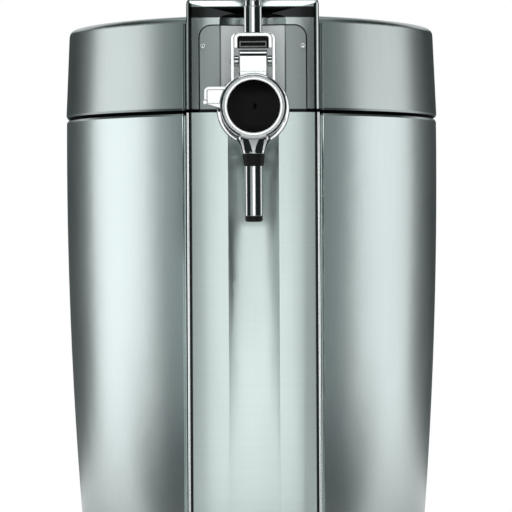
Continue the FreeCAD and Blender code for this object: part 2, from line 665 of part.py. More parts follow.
class Piece:
    """One PartDesign body, built feature by feature."""

    def __init__(self, label, at=(0, 0, 0), keep=True):
        self.body = doc.addObject("PartDesign::Body", label)
        self.body.Label = label
        for axis, value in zip("xyz", at):
            if size(value).value or isinstance(value, Size):
                self.body.setExpression("Placement.Base." + axis, size(value).text)
        self.last = None
        if keep:
            nodes.append(self.body)

    def sketch(self, outlines, plane="XY", offset=0):
        """A sketch on one of the body's own planes, moved along that plane's normal."""
        sketch = self.body.newObject("Sketcher::SketchObject", self.body.Label + "_sketch")
        role = PLANES[plane]
        base = [item for item in self.body.Origin.OriginFeatures if item.Role == role][0]
        sketch.AttachmentSupport = (base, "")
        sketch.MapMode = "FlatFace"
        offset = size(offset)
        sketch.setExpression("AttachmentOffset.Base.z", offset.text)
        for outline in outlines:
            outline.draw(sketch)
        return sketch

    def feature(self, kind, profile):
        feature = self.body.newObject("PartDesign::" + kind, self.body.Label + "_" + kind)
        feature.Profile = profile
        self.last = feature
        return feature

    def pad(self, outlines, low, high, plane="XY", kind="Pad"):
        """Fill the outlines from low to high along the plane's axis."""
        low, high = size(low), size(high)
        offset = -high if plane == "XZ" else low
        feature = self.feature(kind, self.sketch(outlines, plane, offset))
        feature.setExpression("Length", (high - low).text)
        return self

    def pocket(self, outlines, low, high, plane="XY"):
        """Empty the outlines from low to high along the plane's axis."""
        before = self.volume()
        self.pad(outlines, low, high, plane, "Pocket")
        self.last.Reversed = True
        self.check_cut(before)
        return self

    def turn(self, outlines, plane="XZ", axis="V_Axis", kind="Revolution"):
        """Turn the outlines all the way round one of the sketch's axes."""
        sketch = self.sketch(outlines, plane)
        feature = self.feature(kind, sketch)
        feature.ReferenceAxis = (sketch, [axis])
        feature.Angle = 360.0
        return self

    def loft(self, sections, ruled=False):
        """Join outlines at several heights."""
        sketches = [self.sketch([outline], "XY", level) for outline, level in sections]
        feature = self.feature("AdditiveLoft", sketches[0])
        feature.Sections = sketches[1:]
        feature.Ruled = ruled
        return self

    def row(self, count, pitch, axis="X_Axis"):
        """Repeat the last feature in a row."""
        original = self.last
        pattern = self.body.newObject("PartDesign::LinearPattern", self.body.Label + "_row")
        pattern.Originals = [original]
        pattern.Direction = (self.origin_axis(axis), [""])
        pattern.setExpression("Length", (pitch * (count - 1)).text)
        pattern.setExpression("Occurrences", count.text)
        self.body.Tip = pattern
        self.last = pattern
        return self

    def ring(self, count, axis):
        """Repeat the last feature round an axis."""
        original = self.last
        pattern = self.body.newObject("PartDesign::PolarPattern", self.body.Label + "_ring")
        pattern.Originals = [original]
        pattern.Axis = (self.origin_axis(axis), [""])
        pattern.Angle = 360.0
        pattern.setExpression("Occurrences", count.text)
        self.body.Tip = pattern
        self.last = pattern
        return self

    def origin_axis(self, role):
        return [item for item in self.body.Origin.OriginFeatures if item.Role == role][0]

    def round(self, radius, wanted, kind="Fillet"):
        """Round or bevel the edges for which wanted(edge) is true."""
        doc.recompute()
        base = self.last
        names = edge_names(base.Shape, wanted)
        feature = self.body.newObject("PartDesign::" + kind, self.body.Label + "_" + kind)
        feature.Base = (base, names)
        feature.setExpression("Radius" if kind == "Fillet" else "Size", size(radius).text)
        self.last = feature
        return self

    def volume(self):
        doc.recompute()
        return self.body.Shape.Volume

    def check_cut(self, before):
        """A cut has to take something away."""
        if self.volume() >= before - 0.01:
            raise RuntimeError("a cut in %s removed nothing" % self.body.Label)


def edge_names(shape, wanted):
    """Names of the edges for which wanted(edge) is true."""
    names = ["Edge%d" % (place + 1) for place, edge in enumerate(shape.Edges) if wanted(edge)]
    if not names:
        raise RuntimeError("no edge to round")
    return names


def span(edge, axis):
    """Lowest and highest value of an edge along x, y or z."""
    box = edge.BoundBox
    return {"x": (box.XMin, box.XMax), "y": (box.YMin, box.YMax), "z": (box.ZMin, box.ZMax)}[axis]


def lies_at(edge, axis, value, slack=0.01):
    """True where the whole edge lies in one plane."""
    low, high = span(edge, axis)
    return abs(low - size(value).value) < slack and abs(high - size(value).value) < slack


def block(label, x_span, y_span, z_span):
    """A plain box between named faces."""
    box = doc.addObject("Part::Box", label)
    box.Label = label
    spans = ((("Length", "x"), x_span), (("Width", "y"), y_span), (("Height", "z"), z_span))
    for (prop, axis), (low, high) in spans:
        low, high = size(low), size(high)
        box.setExpression(prop, (high - low).text)
        box.setExpression("Placement.Base." + axis, low.text)
    return box


def rod(label, radius, start, length, axis="z"):
    """A round bar from a start point along one axis."""
    bar = doc.addObject("Part::Cylinder", label)
    bar.Label = label
    turns = {"x": ((0, 1, 0), 90), "y": ((1, 0, 0), -90), "z": ((0, 0, 1), 0)}
    about, angle = turns[axis]
    bar.Placement = FreeCAD.Placement(FreeCAD.Vector(), FreeCAD.Rotation(FreeCAD.Vector(*about), angle))
    bar.setExpression("Radius", size(radius).text)
    bar.setExpression("Height", size(length).text)
    for name, value in zip("xyz", start):
        bar.setExpression("Placement.Base." + name, size(value).text)
    return bar


def joined(label, parts, kind="Part::MultiFuse", keep=False):
    """Fuse, intersect or group several objects."""
    whole = doc.addObject(kind, label)
    whole.Label = label
    if kind == "Part::Compound":
        whole.Links = parts
    else:
        whole.Shapes = parts
    if keep:
        nodes.append(whole)
    return whole


def cut(label, base, tool, keep=True):
    """Take one object out of another, and see that something went."""
    result = doc.addObject("Part::Cut", label)
    result.Label = label
    result.Base = base
    result.Tool = tool
    doc.recompute()
    if result.Shape.Volume >= base.Shape.Volume - 0.01:
        raise RuntimeError("a cut in %s removed nothing" % label)
    if keep:
        nodes.append(result)
    return result


def coil(label, wire, radius, low, high, turns, x, y):
    """A compression spring that stands between two seats."""
    helix = doc.addObject("Part::Helix", label + "_path")
    helix.setExpression("Radius", radius.text)
    free = high - low - wire * 2
    helix.setExpression("Height", free.text)
    helix.setExpression("Pitch", (free / turns).text)
    section = doc.addObject("Part::Circle", label + "_wire")
    section.setExpression("Radius", wire.text)
    section.Placement = FreeCAD.Placement(FreeCAD.Vector(),
                                          FreeCAD.Rotation(FreeCAD.Vector(1, 0, 0), 90))
    section.setExpression("Placement.Base.x", radius.text)
    sweep = doc.addObject("Part::Sweep", label)
    sweep.Label = label
    sweep.Sections = [section]
    sweep.Spine = (helix, [])
    sweep.Solid = True
    sweep.Frenet = True
    for name, value in (("x", x), ("y", y), ("z", low + wire)):
        sweep.setExpression("Placement.Base." + name, size(value).text)
    nodes.append(sweep)
    return sweep


# ---------------------------------------------------------------- plan outlines

def barrel_outline(radius, rear, corner):
    """The barrel's plan: a round front, straight sides and a flat back."""
    half = Outline(0, -radius).arc(radius, 0, radius, LEFT).line(radius, rear - corner)
    return half.arc(radius - corner, rear, corner, LEFT).line(0, rear).doubled()


def front_of(radius, across):
    """How far forward a round front of this radius reaches at one side distance."""
    return root(radius * radius - across * across)


def shell_outline(radius, edge, end):
    """The right-hand shell in plan, from the column's edge round to the back."""
    wall, rear, corner, roll = s.shell_wall, s.rear_depth, s.rear_corner, s.flank_roll
    inner = radius - wall
    nose = -front_of(radius, edge + roll)
    inside = edge + wall
    strip = Outline(edge, nose + s.flank_deep).line(edge, nose + roll)
    strip.arc(edge + roll, nose, roll, LEFT).arc(radius, 0, radius, LEFT)
    strip.line(radius, rear - corner).arc(radius - corner, rear, corner, LEFT)
    strip.line(end, rear).line(end, rear - wall).line(radius - corner, rear - wall)
    strip.arc(inner, rear - corner, corner - wall, RIGHT).line(inner, 0)
    strip.arc(inside, -front_of(inner, inside), inner, RIGHT)
    return strip.line(inside, nose + s.flank_deep)


def face_at(across):
    """Front face of the column at one side distance."""
    crown = s.face_radius - front_of(s.face_radius, size(across))
    return crown - s.column_reach


def column_outline(depth):
    """The column in plan, with its centre channel this deep."""
    half, edge, wall, reach = s.column_half, s.column_edge, s.column_wall, s.column_reach
    lip = s.channel_half
    lip_face = face_at(lip)
    sag = depth - reach - lip_face
    bow = (lip * lip + sag * sag) / (sag * 2)
    bead = half - edge * 2
    corner_face = face_at(bead - s.trim_groove)
    groove = corner_face + s.groove_deep
    inner_lip = lip + wall / 2
    inner_bow = (inner_lip * inner_lip + sag * sag) / (sag * 2)
    side = Outline(0, depth - reach).arc(lip, lip_face, bow, RIGHT)
    side.arc(bead - s.trim_groove, corner_face, s.face_radius, LEFT)
    side.line(bead - s.trim_groove, groove).line(bead, groove).line(bead, corner_face + edge)
    side.arc(half - edge, corner_face, edge, LEFT)
    side.arc(half, corner_face + edge, edge, LEFT).line(half, -s.column_back)
    side.line(half - wall, -s.column_back).line(half - wall, corner_face + wall + edge / 2)
    side.line(inner_lip, lip_face + wall)
    side.arc(0, depth - reach + wall, inner_bow, LEFT)
    return side.doubled()


def tray_outline(inset):
    """The drip tray in plan, drawn in by an inset."""
    half, back, centre = s.tray_half - inset, s.column_reach + s.tray_play + inset, s.tray_centre
    side = Outline(0, -centre - half).arc(half, -centre, half, LEFT).line(half, -back)
    return side.line(0, -back).doubled()


# ---------------------------------------------------------------- body

def build_shells(lid):
    """Two of the four steel shells, with their edges at the seam rolled in."""
    edge = s.column_half + s.column_gap
    roll = s.edge_roll
    if lid:
        low = s.seam_height + s.lid_gap
        levels = ((s.lid_radius, low + roll), (s.crown_radius, s.lid_wall_top))
        rim = ((s.lid_radius - roll / 2, low), levels[0])
        end = edge
    else:
        high = s.seam_height - roll
        levels = ((s.skirt_radius, s.shell_bottom), (s.waist_radius, s.waist_height),
                  (s.body_radius, high))
        rim = (levels[-1], (s.body_radius - roll / 2, s.seam_height))
        end = s.cover_half + s.column_gap
    for side in ("right", "left"):
        name = ("lid_shell_" if lid else "side_shell_") + side
        piece = Piece(name + "_raw", keep=False) if lid else Piece(name)
        for stretch, ruled in ((levels, lid), (rim, True)):
            sections = []
            for radius, level in stretch:
                outline = shell_outline(radius, edge, end)
                sections.append((outline if side == "right" else outline.mirrored(), level))
            piece.loft(sections, ruled)
        if lid:
            bow = bow_tool("bow_" + side, s.lid_wall_top)
            joined(name, [piece.body, bow], "Part::MultiCommon", keep=True)


def bow_tool(label, height):
    """The wide upright crown, highest along the middle, that the lid's pieces share."""
    room = s.body_radius * 2
    return rod(label, s.lid_bow, (0, -room, height - s.lid_bow), room * 2, "y")


def flange_circle():
    """The round opening that takes the tap's flange."""
    return Circle(0, s.badge_height, s.flange_radius + s.flange_gap)


def build_column():
    """The lower front column, with its channel fading towards the foot."""
    piece = Piece("front_column")
    piece.loft(((column_outline(s.channel_shallow), s.shelf_top + s.part_gap),
                (column_outline(s.channel_deep), s.seam_height)), ruled=True)
    piece.pocket([flange_circle()], -s.column_reach - PAST, -s.flange_back, "XZ")
    face = face_at(s.light_across)
    light = Circle(s.light_across, s.light_height, s.light_radius + s.part_gap / 2)
    piece.pocket([light], -s.column_reach - PAST, face + s.light_length, "XZ")
    lens = Piece("ready_light", (s.light_across, face, s.light_height))
    ball = Outline(0, s.light_length).line(0, 0).line(s.light_radius - s.light_bevel, 0)
    ball.line(s.light_radius, s.light_bevel).line(s.light_radius, s.light_length)
    lens.turn([ball], "XZ")
    lens.body.Placement = FreeCAD.Placement(
        FreeCAD.Vector(), FreeCAD.Rotation(FreeCAD.Vector(1, 0, 0), -90))


def build_base():
    """The base with its floor, centring rim and tray shelf, and the rubber feet."""
    radius = s.skirt_radius - s.base_inset
    inside = s.shell_wall + s.part_gap
    rim_radius = s.skirt_radius - inside
    rim_rear = s.rear_depth - inside
    rim_corner = s.rear_corner - inside
    floor_top = s.foot_height + s.floor_thick
    piece = Piece("base_plinth")
    piece.pad([barrel_outline(radius, s.rear_depth - s.base_inset,
                              s.rear_corner - s.base_inset)], s.foot_height, s.shell_bottom)
    piece.pad([barrel_outline(rim_radius, rim_rear, rim_corner)], s.shell_bottom, s.base_rim)
    wall = s.base_wall
    piece.pocket([barrel_outline(radius - wall, s.rear_depth - s.base_inset - wall,
                                 s.rear_corner - s.base_inset - wall)],
                 floor_top, s.base_rim + PAST)
    half = s.notch_half
    notch_back = s.part_gap - s.column_back + s.flank_deep + s.small_bevel
    notch = block_outline(-half, half, -radius - PAST, notch_back)
    piece.pocket([notch], s.shelf_top, s.base_rim + PAST)
    shelf = Outline(0, -s.tray_centre - s.shelf_half)
    shelf.arc(s.shelf_half, -s.tray_centre, s.shelf_half, LEFT)
    shelf.line(s.shelf_half, wall - s.column_back).line(0, wall - s.column_back)
    piece.pad([shelf.doubled()], s.foot_height, s.shelf_top)
    half = s.column_half - s.column_wall - s.part_gap
    key = block_outline(-half, half, -radius, s.part_gap - s.column_back + wall)
    piece.pad([key], s.shelf_top, s.column_key)
    first = -s.slot_pitch * (s.base_slots - 1) / 2
    slot = block_outline(first - s.slot_wide / 2, first + s.slot_wide / 2,
                         s.foot_rear - s.slot_long, s.foot_rear)
    piece.pocket([slot], s.foot_height - PAST, floor_top + PAST)
    piece.row(s.base_slots, s.slot_pitch)
    feet = []
    for across in (-s.foot_across, s.foot_across):
        for along in (-s.foot_front, s.foot_rear):
            foot = doc.addObject("Part::Cone", "foot")
            foot.setExpression("Radius1", s.foot_tread.text)
            foot.setExpression("Radius2", s.foot_top.text)
            foot.setExpression("Height", s.foot_height.text)
            foot.setExpression("Placement.Base.x", across.text)
            foot.setExpression("Placement.Base.y", along.text)
            feet.append(foot)
    joined("rubber_feet", feet, "Part::Compound", keep=True)


def build_deck():
    """The top deck round the keg chamber, and the catch plate on it."""
    radius = s.body_radius - s.shell_wall - s.edge_roll / 2 - s.part_gap
    low = s.seam_height - s.deck_thick
    piece = Piece("top_deck")
    piece.pad([barrel_outline(radius, s.cover_inset - s.part_gap, s.rear_corner)],
              low, s.seam_height)
    piece.pocket([Circle(0, 0, s.keg_bore + s.liner_wall + s.part_gap)], low - PAST,
                 s.seam_height + PAST)
    half = s.notch_half
    notch = block_outline(-half, half, -s.column_reach, -s.column_back + s.part_gap)
    piece.pocket([notch], low - PAST, s.seam_height + PAST)
    plate = s.catch_half
    block_at = -s.button_forward
    catch = Piece("catch_plate")
    catch.pad([block_outline(-plate, plate, block_at - plate, block_at + plate)],
              s.seam_height, s.seam_height + s.catch_thick)


def build_chamber():
    """The keg chamber: liner, insulation and the stand below them."""
    bore, wall, low = s.keg_bore, s.liner_wall, s.liner_bottom
    top = s.seam_height
    cup = Outline(0, low).line(bore + wall, low).line(bore + wall, top)
    cup.line(s.liner_flange, top).line(s.liner_flange, top + s.liner_flange_thick)
    cup.line(bore, top + s.liner_flange_thick).line(bore, low + wall).line(0, low + wall)
    Piece("keg_liner").turn([cup])

    inner = bore + wall + s.part_gap
    foam = Outline(0, s.foam_bottom).line(s.foam_radius, s.foam_bottom)
    foam.line(s.foam_radius, s.foam_top).line(inner, s.foam_top)
    foam.line(inner, low - s.part_gap).line(0, low - s.part_gap)
    jacket = Piece("insulation_jacket").turn([foam])
    window = s.cold_half + s.part_gap
    opening = block_outline(-window, window, s.cooler_height - window, s.cooler_height + window)
    jacket.pocket([opening], bore - wall * 4, s.foam_radius + PAST, "XZ")

    floor_top = s.foot_height + s.floor_thick
    ring = Outline(s.stand_radius - s.stand_wall, floor_top).line(s.stand_radius, floor_top)
    ring.line(s.stand_radius, s.foam_bottom).line(s.stand_radius - s.stand_wall, s.foam_bottom)
    stand = Piece("chamber_stand").turn([ring])
    gate = block_outline(-s.stand_window, s.stand_window, floor_top + s.stand_wall * 2,
                         s.foam_bottom - s.stand_wall * 2)
    stand.pocket([gate], -s.stand_radius - PAST, s.stand_radius + PAST, "XZ")


def build_cooler():
    """The cooling train behind the chamber: block, module, heat sink and fan."""
    middle, half = s.cooler_height, s.cold_half
    raw = Piece("cold_block_raw", keep=False)
    raw.pad([block_outline(-half, half, middle - half, middle + half)],
            s.keg_bore - s.liner_wall * 4, s.cold_back, "XZ")
    drum = rod("cold_block_seat", s.keg_bore + s.liner_wall,
               (0, 0, middle - half - PAST), (half + PAST) * 2)
    cut("cold_block", raw.body, drum)

    small = s.peltier_half
    back = s.cold_back + s.peltier_thick
    Piece("peltier_module").pad([block_outline(-small, small, middle - small, middle + small)],
                                s.cold_back, back, "XZ")

    wide = s.sink_half
    sink = Piece("heat_sink")
    sink.pad([block_outline(-wide, wide, middle - wide, middle + wide)],
             back, back + s.sink_base, "XZ")
    first = -s.fin_pitch * (s.fin_count - 1) / 2
    fin = block_outline(first - s.fin_thick / 2, first + s.fin_thick / 2,
                        middle - wide, middle + wide)
    sink.pad([fin], back + s.sink_base, back + s.sink_depth, "XZ")
    sink.row(s.fin_count, s.fin_pitch)

    front = back + s.sink_depth
    rear = front + s.fan_depth
    outer = s.fan_half
    frame = Piece("fan_frame", (0, 0, middle))
    frame.pad([block_outline(-outer, outer, -outer, outer), Circle(0, 0, s.fan_bore)],
              front, rear, "XZ")
    frame.pad([Circle(0, 0, s.motor_radius)], rear - s.motor_thick, rear, "XZ")
    reach = s.fan_bore + PAST
    for strut in (block_outline(-reach, reach, -s.strut_half, s.strut_half),
                  block_outline(-s.strut_half, s.strut_half, -reach, reach)):
        frame.pad([strut], rear - s.motor_thick, rear, "XZ")
    frame.pocket([Circle(0, 0, s.shaft_radius + s.pin_play)], rear - s.motor_thick - PAST,
                 rear + PAST, "XZ")

    hub_back = rear - s.motor_thick - s.part_gap
    rotor = Piece("fan_rotor", (0, 0, middle))
    hub_front = front + s.fan_set
    rotor.pad([Circle(0, 0, s.fan_hub)], hub_front, hub_back, "XZ")
    rotor.pad([Circle(0, 0, s.shaft_radius)], hub_back, rear - s.part_gap, "XZ")
    sweep = s.blade_sweep
    thick = s.blade_thick
    edge = s.small_bevel
    blade = Outline(-sweep, hub_front + edge).line(thick - sweep, hub_front + edge)
    blade.line(sweep + thick, hub_back - edge).line(sweep, hub_back - edge)
    rotor.pad([blade], front_of(s.fan_hub, sweep + thick) - edge,
              front_of(s.fan_tip, sweep + thick))
    rotor.ring(s.blade_count, "Y_Axis")


def build_rear():
    """The rear cover with its vents and screws."""
    half, low, top = s.cover_half, s.cover_low, s.seam_height
    wall, back, radius = s.rear_wall, s.cover_back, s.rear_round
    outer = Outline(0, s.cover_inset).line(half, s.cover_inset).line(half, back - radius)
    outer.arc(half - radius, back, radius, LEFT).line(0, back)
    inner = Outline(0, s.cover_inset - PAST).line(half - wall, s.cover_inset - PAST)
    inner.line(half - wall, back - radius)
    inner.arc(half - radius, back - wall, radius - wall, LEFT).line(0, back - wall)
    cover = Piece("rear_cover")
    cover.pad([outer.doubled()], low, top)
    cover.pocket([inner.doubled()], low + wall, top - wall)
    first = s.cooler_height - s.slot_pitch * (s.vent_count - 1) / 2
    vent = block_outline(-s.vent_long / 2, s.vent_long / 2, first - s.slot_wide / 2,
                         first + s.slot_wide / 2)
    cover.pocket([vent], back - wall - PAST, back + PAST, "XZ")
    cover.row(s.vent_count, s.slot_pitch, "Z_Axis")
    sockets = ((s.inlet_across, s.inlet_half, s.inlet_rise),
               (s.switch_across, s.switch_half, s.switch_rise))
    for across, wide, tall in sockets:
        hole = block_outline(across - wide, across + wide, s.power_height - tall,
                             s.power_height + tall)
        cover.pocket([hole], back - wall - PAST, back + PAST, "XZ")
    places = []
    for side in (-1, 1):
        for height in (low + s.screw_inset * 2, top - s.screw_inset * 2):
            places.append((side * (half - radius - s.screw_inset), height))
    cover.pocket([Circle(across, height, s.screw_shank) for across, height in places],
                 back - wall - PAST, back + PAST, "XZ")
    screws = []
    for place, (across, height) in enumerate(places):
        shank = rod("screw_shank_%d" % place, s.screw_shank,
                    (across, back - s.screw_length, height), s.screw_length, "y")
        head = rod("screw_head_%d" % place, s.screw_head, (across, back, height),
                   s.screw_proud, "y")
        screws.append(joined("screw_%d" % place, [shank, head]))
    joined("rear_cover_screws", screws, "Part::Compound", keep=True)


def build_power():
    """The power inlet, the rocker switch, the supply and the control board."""
    back, height = s.cover_back, s.power_height
    wide, tall, across = s.inlet_half, s.inlet_rise, s.inlet_across
    lip = s.bezel_proud
    inlet = Piece("power_inlet", (across, 0, height))
    inlet.pad([block_outline(-wide, wide, -tall, tall)], back - s.inlet_depth, back, "XZ")
    inlet.pad([block_outline(-wide - lip, wide + lip, -tall - lip, tall + lip)],
              back, back + lip, "XZ")
    inner, cut_corner = s.inlet_wall, s.inlet_wall + s.inlet_cut
    mouth = Outline(0, inner - tall).line(wide - inner, inner - tall)
    mouth.line(wide - inner, tall - cut_corner).line(wide - cut_corner, tall - inner)
    mouth.line(0, tall - inner)
    floor = back + lip - s.inlet_recess
    inlet.pocket([mouth.doubled()], floor, back + lip + PAST, "XZ")
    for place, rise in ((-1, 0), (0, 1), (1, 0)):
        middle = s.prong_step * rise - s.prong_step / 4
        prong = block_outline(s.prong_pitch * place - s.prong_half,
                              s.prong_pitch * place + s.prong_half,
                              middle - s.prong_rise, middle + s.prong_rise)
        inlet.pad([prong], floor - PAST, back - s.prong_set, "XZ")

    wide, tall, across = s.switch_half, s.switch_rise, s.switch_across
    half = s.rocker_half
    bezel = Piece("switch_bezel", (across, 0, height))
    window = block_outline(-half - s.part_gap, half + s.part_gap,
                           -s.rocker_window, s.rocker_window)
    bezel.pad([block_outline(-wide, wide, -tall, tall), window], back - s.inlet_depth,
              back, "XZ")
    bezel.pad([block_outline(-wide - lip, wide + lip, -tall - lip, tall + lip), window],
              back, back + lip, "XZ")
    middle = (half + wide) / 2
    for low, high in ((half - s.rocker_pin, middle), (-middle, s.rocker_pin - half)):
        bezel.pad([Circle(s.rocker_back, 0, s.rocker_pin)], low, high, "YZ")

    chord, face = s.rocker_chord, s.rocker_radius
    reach = front_of(face, chord)
    neck, heel = s.rocker_neck, s.rocker_heel
    rocker = Piece("power_switch", (across, s.rocker_back, height))
    lens = Outline(-heel, -neck).line(s.small_bevel, -neck).line(reach, -chord)
    lens.arc(reach, chord, face, LEFT).line(s.small_bevel, neck).line(-heel, neck)
    rocker.pad([lens], -half, half, "YZ")
    rocker.pocket([Circle(0, 0, s.rocker_pin + s.pin_play)], -half - PAST, half + PAST, "YZ")
    rocker.body.Placement = FreeCAD.Placement(
        FreeCAD.Vector(), FreeCAD.Rotation(FreeCAD.Vector(1, 0, 0), s.rocker_tilt.value))
    rocker.body.setExpression("Placement.Rotation.Angle", s.rocker_tilt.text)

    floor_top = s.foot_height + s.floor_thick
    gap = s.bay_gap
    supply = Piece("power_supply")
    supply.pad([block_outline(-gap - s.supply_wide, -gap, -s.supply_long / 2,
                              s.supply_long / 2)], floor_top, floor_top + s.supply_tall)
    supply.round(s.supply_round, lambda edge: not lies_at(edge, "z", floor_top)
                 and not lies_at(edge, "z", floor_top + s.supply_tall))

    board_low = floor_top + s.board_rise
    along = s.board_long / 2
    board = Piece("control_board")
    board.pad([block_outline(gap, gap + s.board_wide, -along, along)],
              board_low, board_low + s.board_thick)
    inset = s.post_inset
    posts = [Circle(side, end, s.post_radius)
             for side in (gap + inset, gap + s.board_wide - inset)
             for end in (inset - along, along - inset)]
    board.pad(posts, floor_top, board_low)
    top = board_low + s.board_thick
    cans = [Circle(gap + s.can_inset, end, s.can_radius) for end in (-s.can_spread, s.can_spread)]
    board.pad(cans, top, top + s.can_tall)
    middle = gap + s.chip_inset
    board.pad([block_outline(middle - s.chip_half, middle + s.chip_half,
                             -s.chip_half, s.chip_half)], top, top + s.chip_tall)


def build_tray():
    """The drip tray and its grille."""
    low = s.shelf_top + s.part_gap
    top = low + s.tray_height
    seat = top - s.grille_thick
    lip = s.tray_wall - s.grille_ledge
    tray = Piece("drip_tray")
    tray.pad([tray_outline(size(0))], low, top)
    tray.pocket([tray_outline(s.tray_wall)], low + s.tray_wall, top + PAST)
    tray.pocket([tray_outline(lip)], seat - s.part_gap, top + PAST)
    plate = Piece("grille_plate", keep=False)
    plate.pad([tray_outline(lip + s.part_gap)], seat, top)
    field = Piece("grille_field", keep=False)
    field.pad([tray_outline(s.grille_border)], seat - PAST, top + PAST)
    slots = Piece("grille_slots", keep=False)
    first = -s.bar_pitch * (s.grille_slots - 1) / 2
    reach = s.tray_centre + s.tray_half
    stripe = block_outline(first - s.bar_slot / 2, first + s.bar_slot / 2, -reach,
                           -s.column_reach)
    slots.body.AllowCompound = True
    slots.pad([stripe], seat - PAST * 2, top + PAST * 2)
    slots.row(s.grille_slots, s.bar_pitch)
    openings = joined("grille_openings", [field.body, slots.body], "Part::MultiCommon")
    cut("drip_grille", plate.body, openings)


# ---------------------------------------------------------------- lid

def niche_tool(label):
    """The round-backed niche that runs up behind the tap."""
    depth, half = s.niche_depth, s.niche_half
    mouth = face_at(half)
    sag = depth - s.column_reach - mouth
    bow = (half * half + sag * sag) / (sag * 2)
    tool = Piece(label, keep=False)
    plan = Outline(0, depth - s.column_reach).arc(half, mouth, bow, RIGHT)
    plan.line(half, mouth - depth).line(0, mouth - depth)
    tool.pad([plan.doubled()], s.seam_height - PAST, s.niche_top)

    def upper(edge):
        return lies_at(edge, "z", s.niche_top) and span(edge, "y")[0] > mouth.value - PAST

    tool.round(s.niche_round, upper)
    return tool.body


def crown_tool(label, low, high):
    """The gently crowned front that the column, console and cover share."""
    return rod(label, s.face_radius, (0, s.face_radius - s.column_reach, low), high - low)


def build_console():
    """The arch-topped console that carries the tap."""
    low = s.seam_height + s.part_gap
    inner = s.column_reach - s.cover_front
    raw = Piece("console_raw", keep=False)
    raw.pad([round_block(s.arch_half, low, s.arch_top, s.arch_corner)],
            -s.column_reach - PAST, -s.column_back, "XZ")
    wall = s.column_wall
    raw.pocket([round_block(s.arch_half - wall, low - PAST, s.arch_top - wall,
                            s.arch_corner - wall)], -inner, -s.column_back + PAST, "XZ")
    reveal = block_outline(-s.column_half, s.column_half, low - PAST, low + s.reveal_tall)
    raw.pocket([reveal], -s.column_reach - PAST, s.reveal_deep - s.column_reach, "XZ")
    raw.pocket([flange_circle()], -s.column_reach - PAST, -s.flange_back, "XZ")
    raw.pocket([Circle(0, s.feed_height, s.hose_bore)], -s.column_reach, -inner + PAST, "XZ")
    crown = crown_tool("console_crown", low - PAST, s.arch_top + PAST)
    crowned = joined("console_crowned", [raw.body, crown], "Part::MultiCommon")
    cut("tap_console", crowned, niche_tool("console_niche"))


def build_spine():
    """The lid's raised spine: over the top, down the front round the arch, down the back."""
    low = s.seam_height + s.lid_gap
    top, roll, reach = s.cover_top, s.cover_roll, s.column_reach
    deck = s.lid_top_height
    rear_in = s.rear_depth + s.part_gap
    rear_out = rear_in + s.cover_wall
    side = Outline(-reach, low).line(-s.column_back, low).line(-s.column_back, deck)
    side.line(rear_in, deck).line(rear_in, low).line(rear_out, low)
    side.line(rear_out, top - roll).arc(rear_out - roll, top, roll, LEFT)
    side.line(roll - reach, top).arc(-reach, top - roll, roll, LEFT)
    profile = Piece("spine_profile", keep=False)
    profile.pad([side], -s.column_half, s.column_half, "YZ")
    front = Piece("spine_front", keep=False)
    front.pad([round_block(s.column_half, low - PAST, top, s.cover_corner)],
              -reach - PAST, rear_out + PAST, "XZ")
    crown = crown_tool("spine_crown", low - PAST, top + PAST)
    skin = joined("spine_skin", [profile.body, front.body, crown], "Part::MultiCommon")
    doc.recompute()

    def front_edge(edge):
        middle = edge.CenterOfMass
        upright = edge.BoundBox.ZLength > (top - deck).value and edge.BoundBox.YLength < PAST
        at_side = lies_at(edge, "x", s.column_half) or lies_at(edge, "x", -s.column_half)
        return upright and at_side and middle.y < -s.column_back.value - PAST

    rounded = doc.addObject("Part::Fillet", "spine_rounded")
    rounded.Base = skin
    names = edge_names(skin.Shape, front_edge)
    edge = s.cover_edge.value
    rounded.Edges = [(int(name[4:]), edge, edge) for name in names]

    wall = s.cover_wall
    room_front = s.cover_front - reach
    hollow = Outline(room_front, low - PAST).line(rear_in, low - PAST)
    hollow.line(rear_in, top - roll).arc(rear_in - roll + wall, top - wall, roll - wall, LEFT)
    hollow.line(room_front, top - wall)
    room = Piece("spine_room", keep=False)
    room.pad([hollow], wall - s.column_half, s.column_half - wall, "YZ")
    arch = Piece("spine_arch", keep=False)
    gap = s.arch_gap
    arch.pad([round_block(s.arch_half + gap, low - PAST * 2, s.arch_top + gap,
                          s.arch_corner + gap)], -reach - PAST, room_front + PAST, "XZ")
    button = rod("spine_button_hole", s.button_radius + s.part_gap,
                 (0, -s.button_forward, top - wall - PAST), wall + PAST * 2)
    tools = joined("spine_tools", [room.body, arch.body, button, niche_tool("spine_niche")])
    cut("lid_spine", rounded, tools)


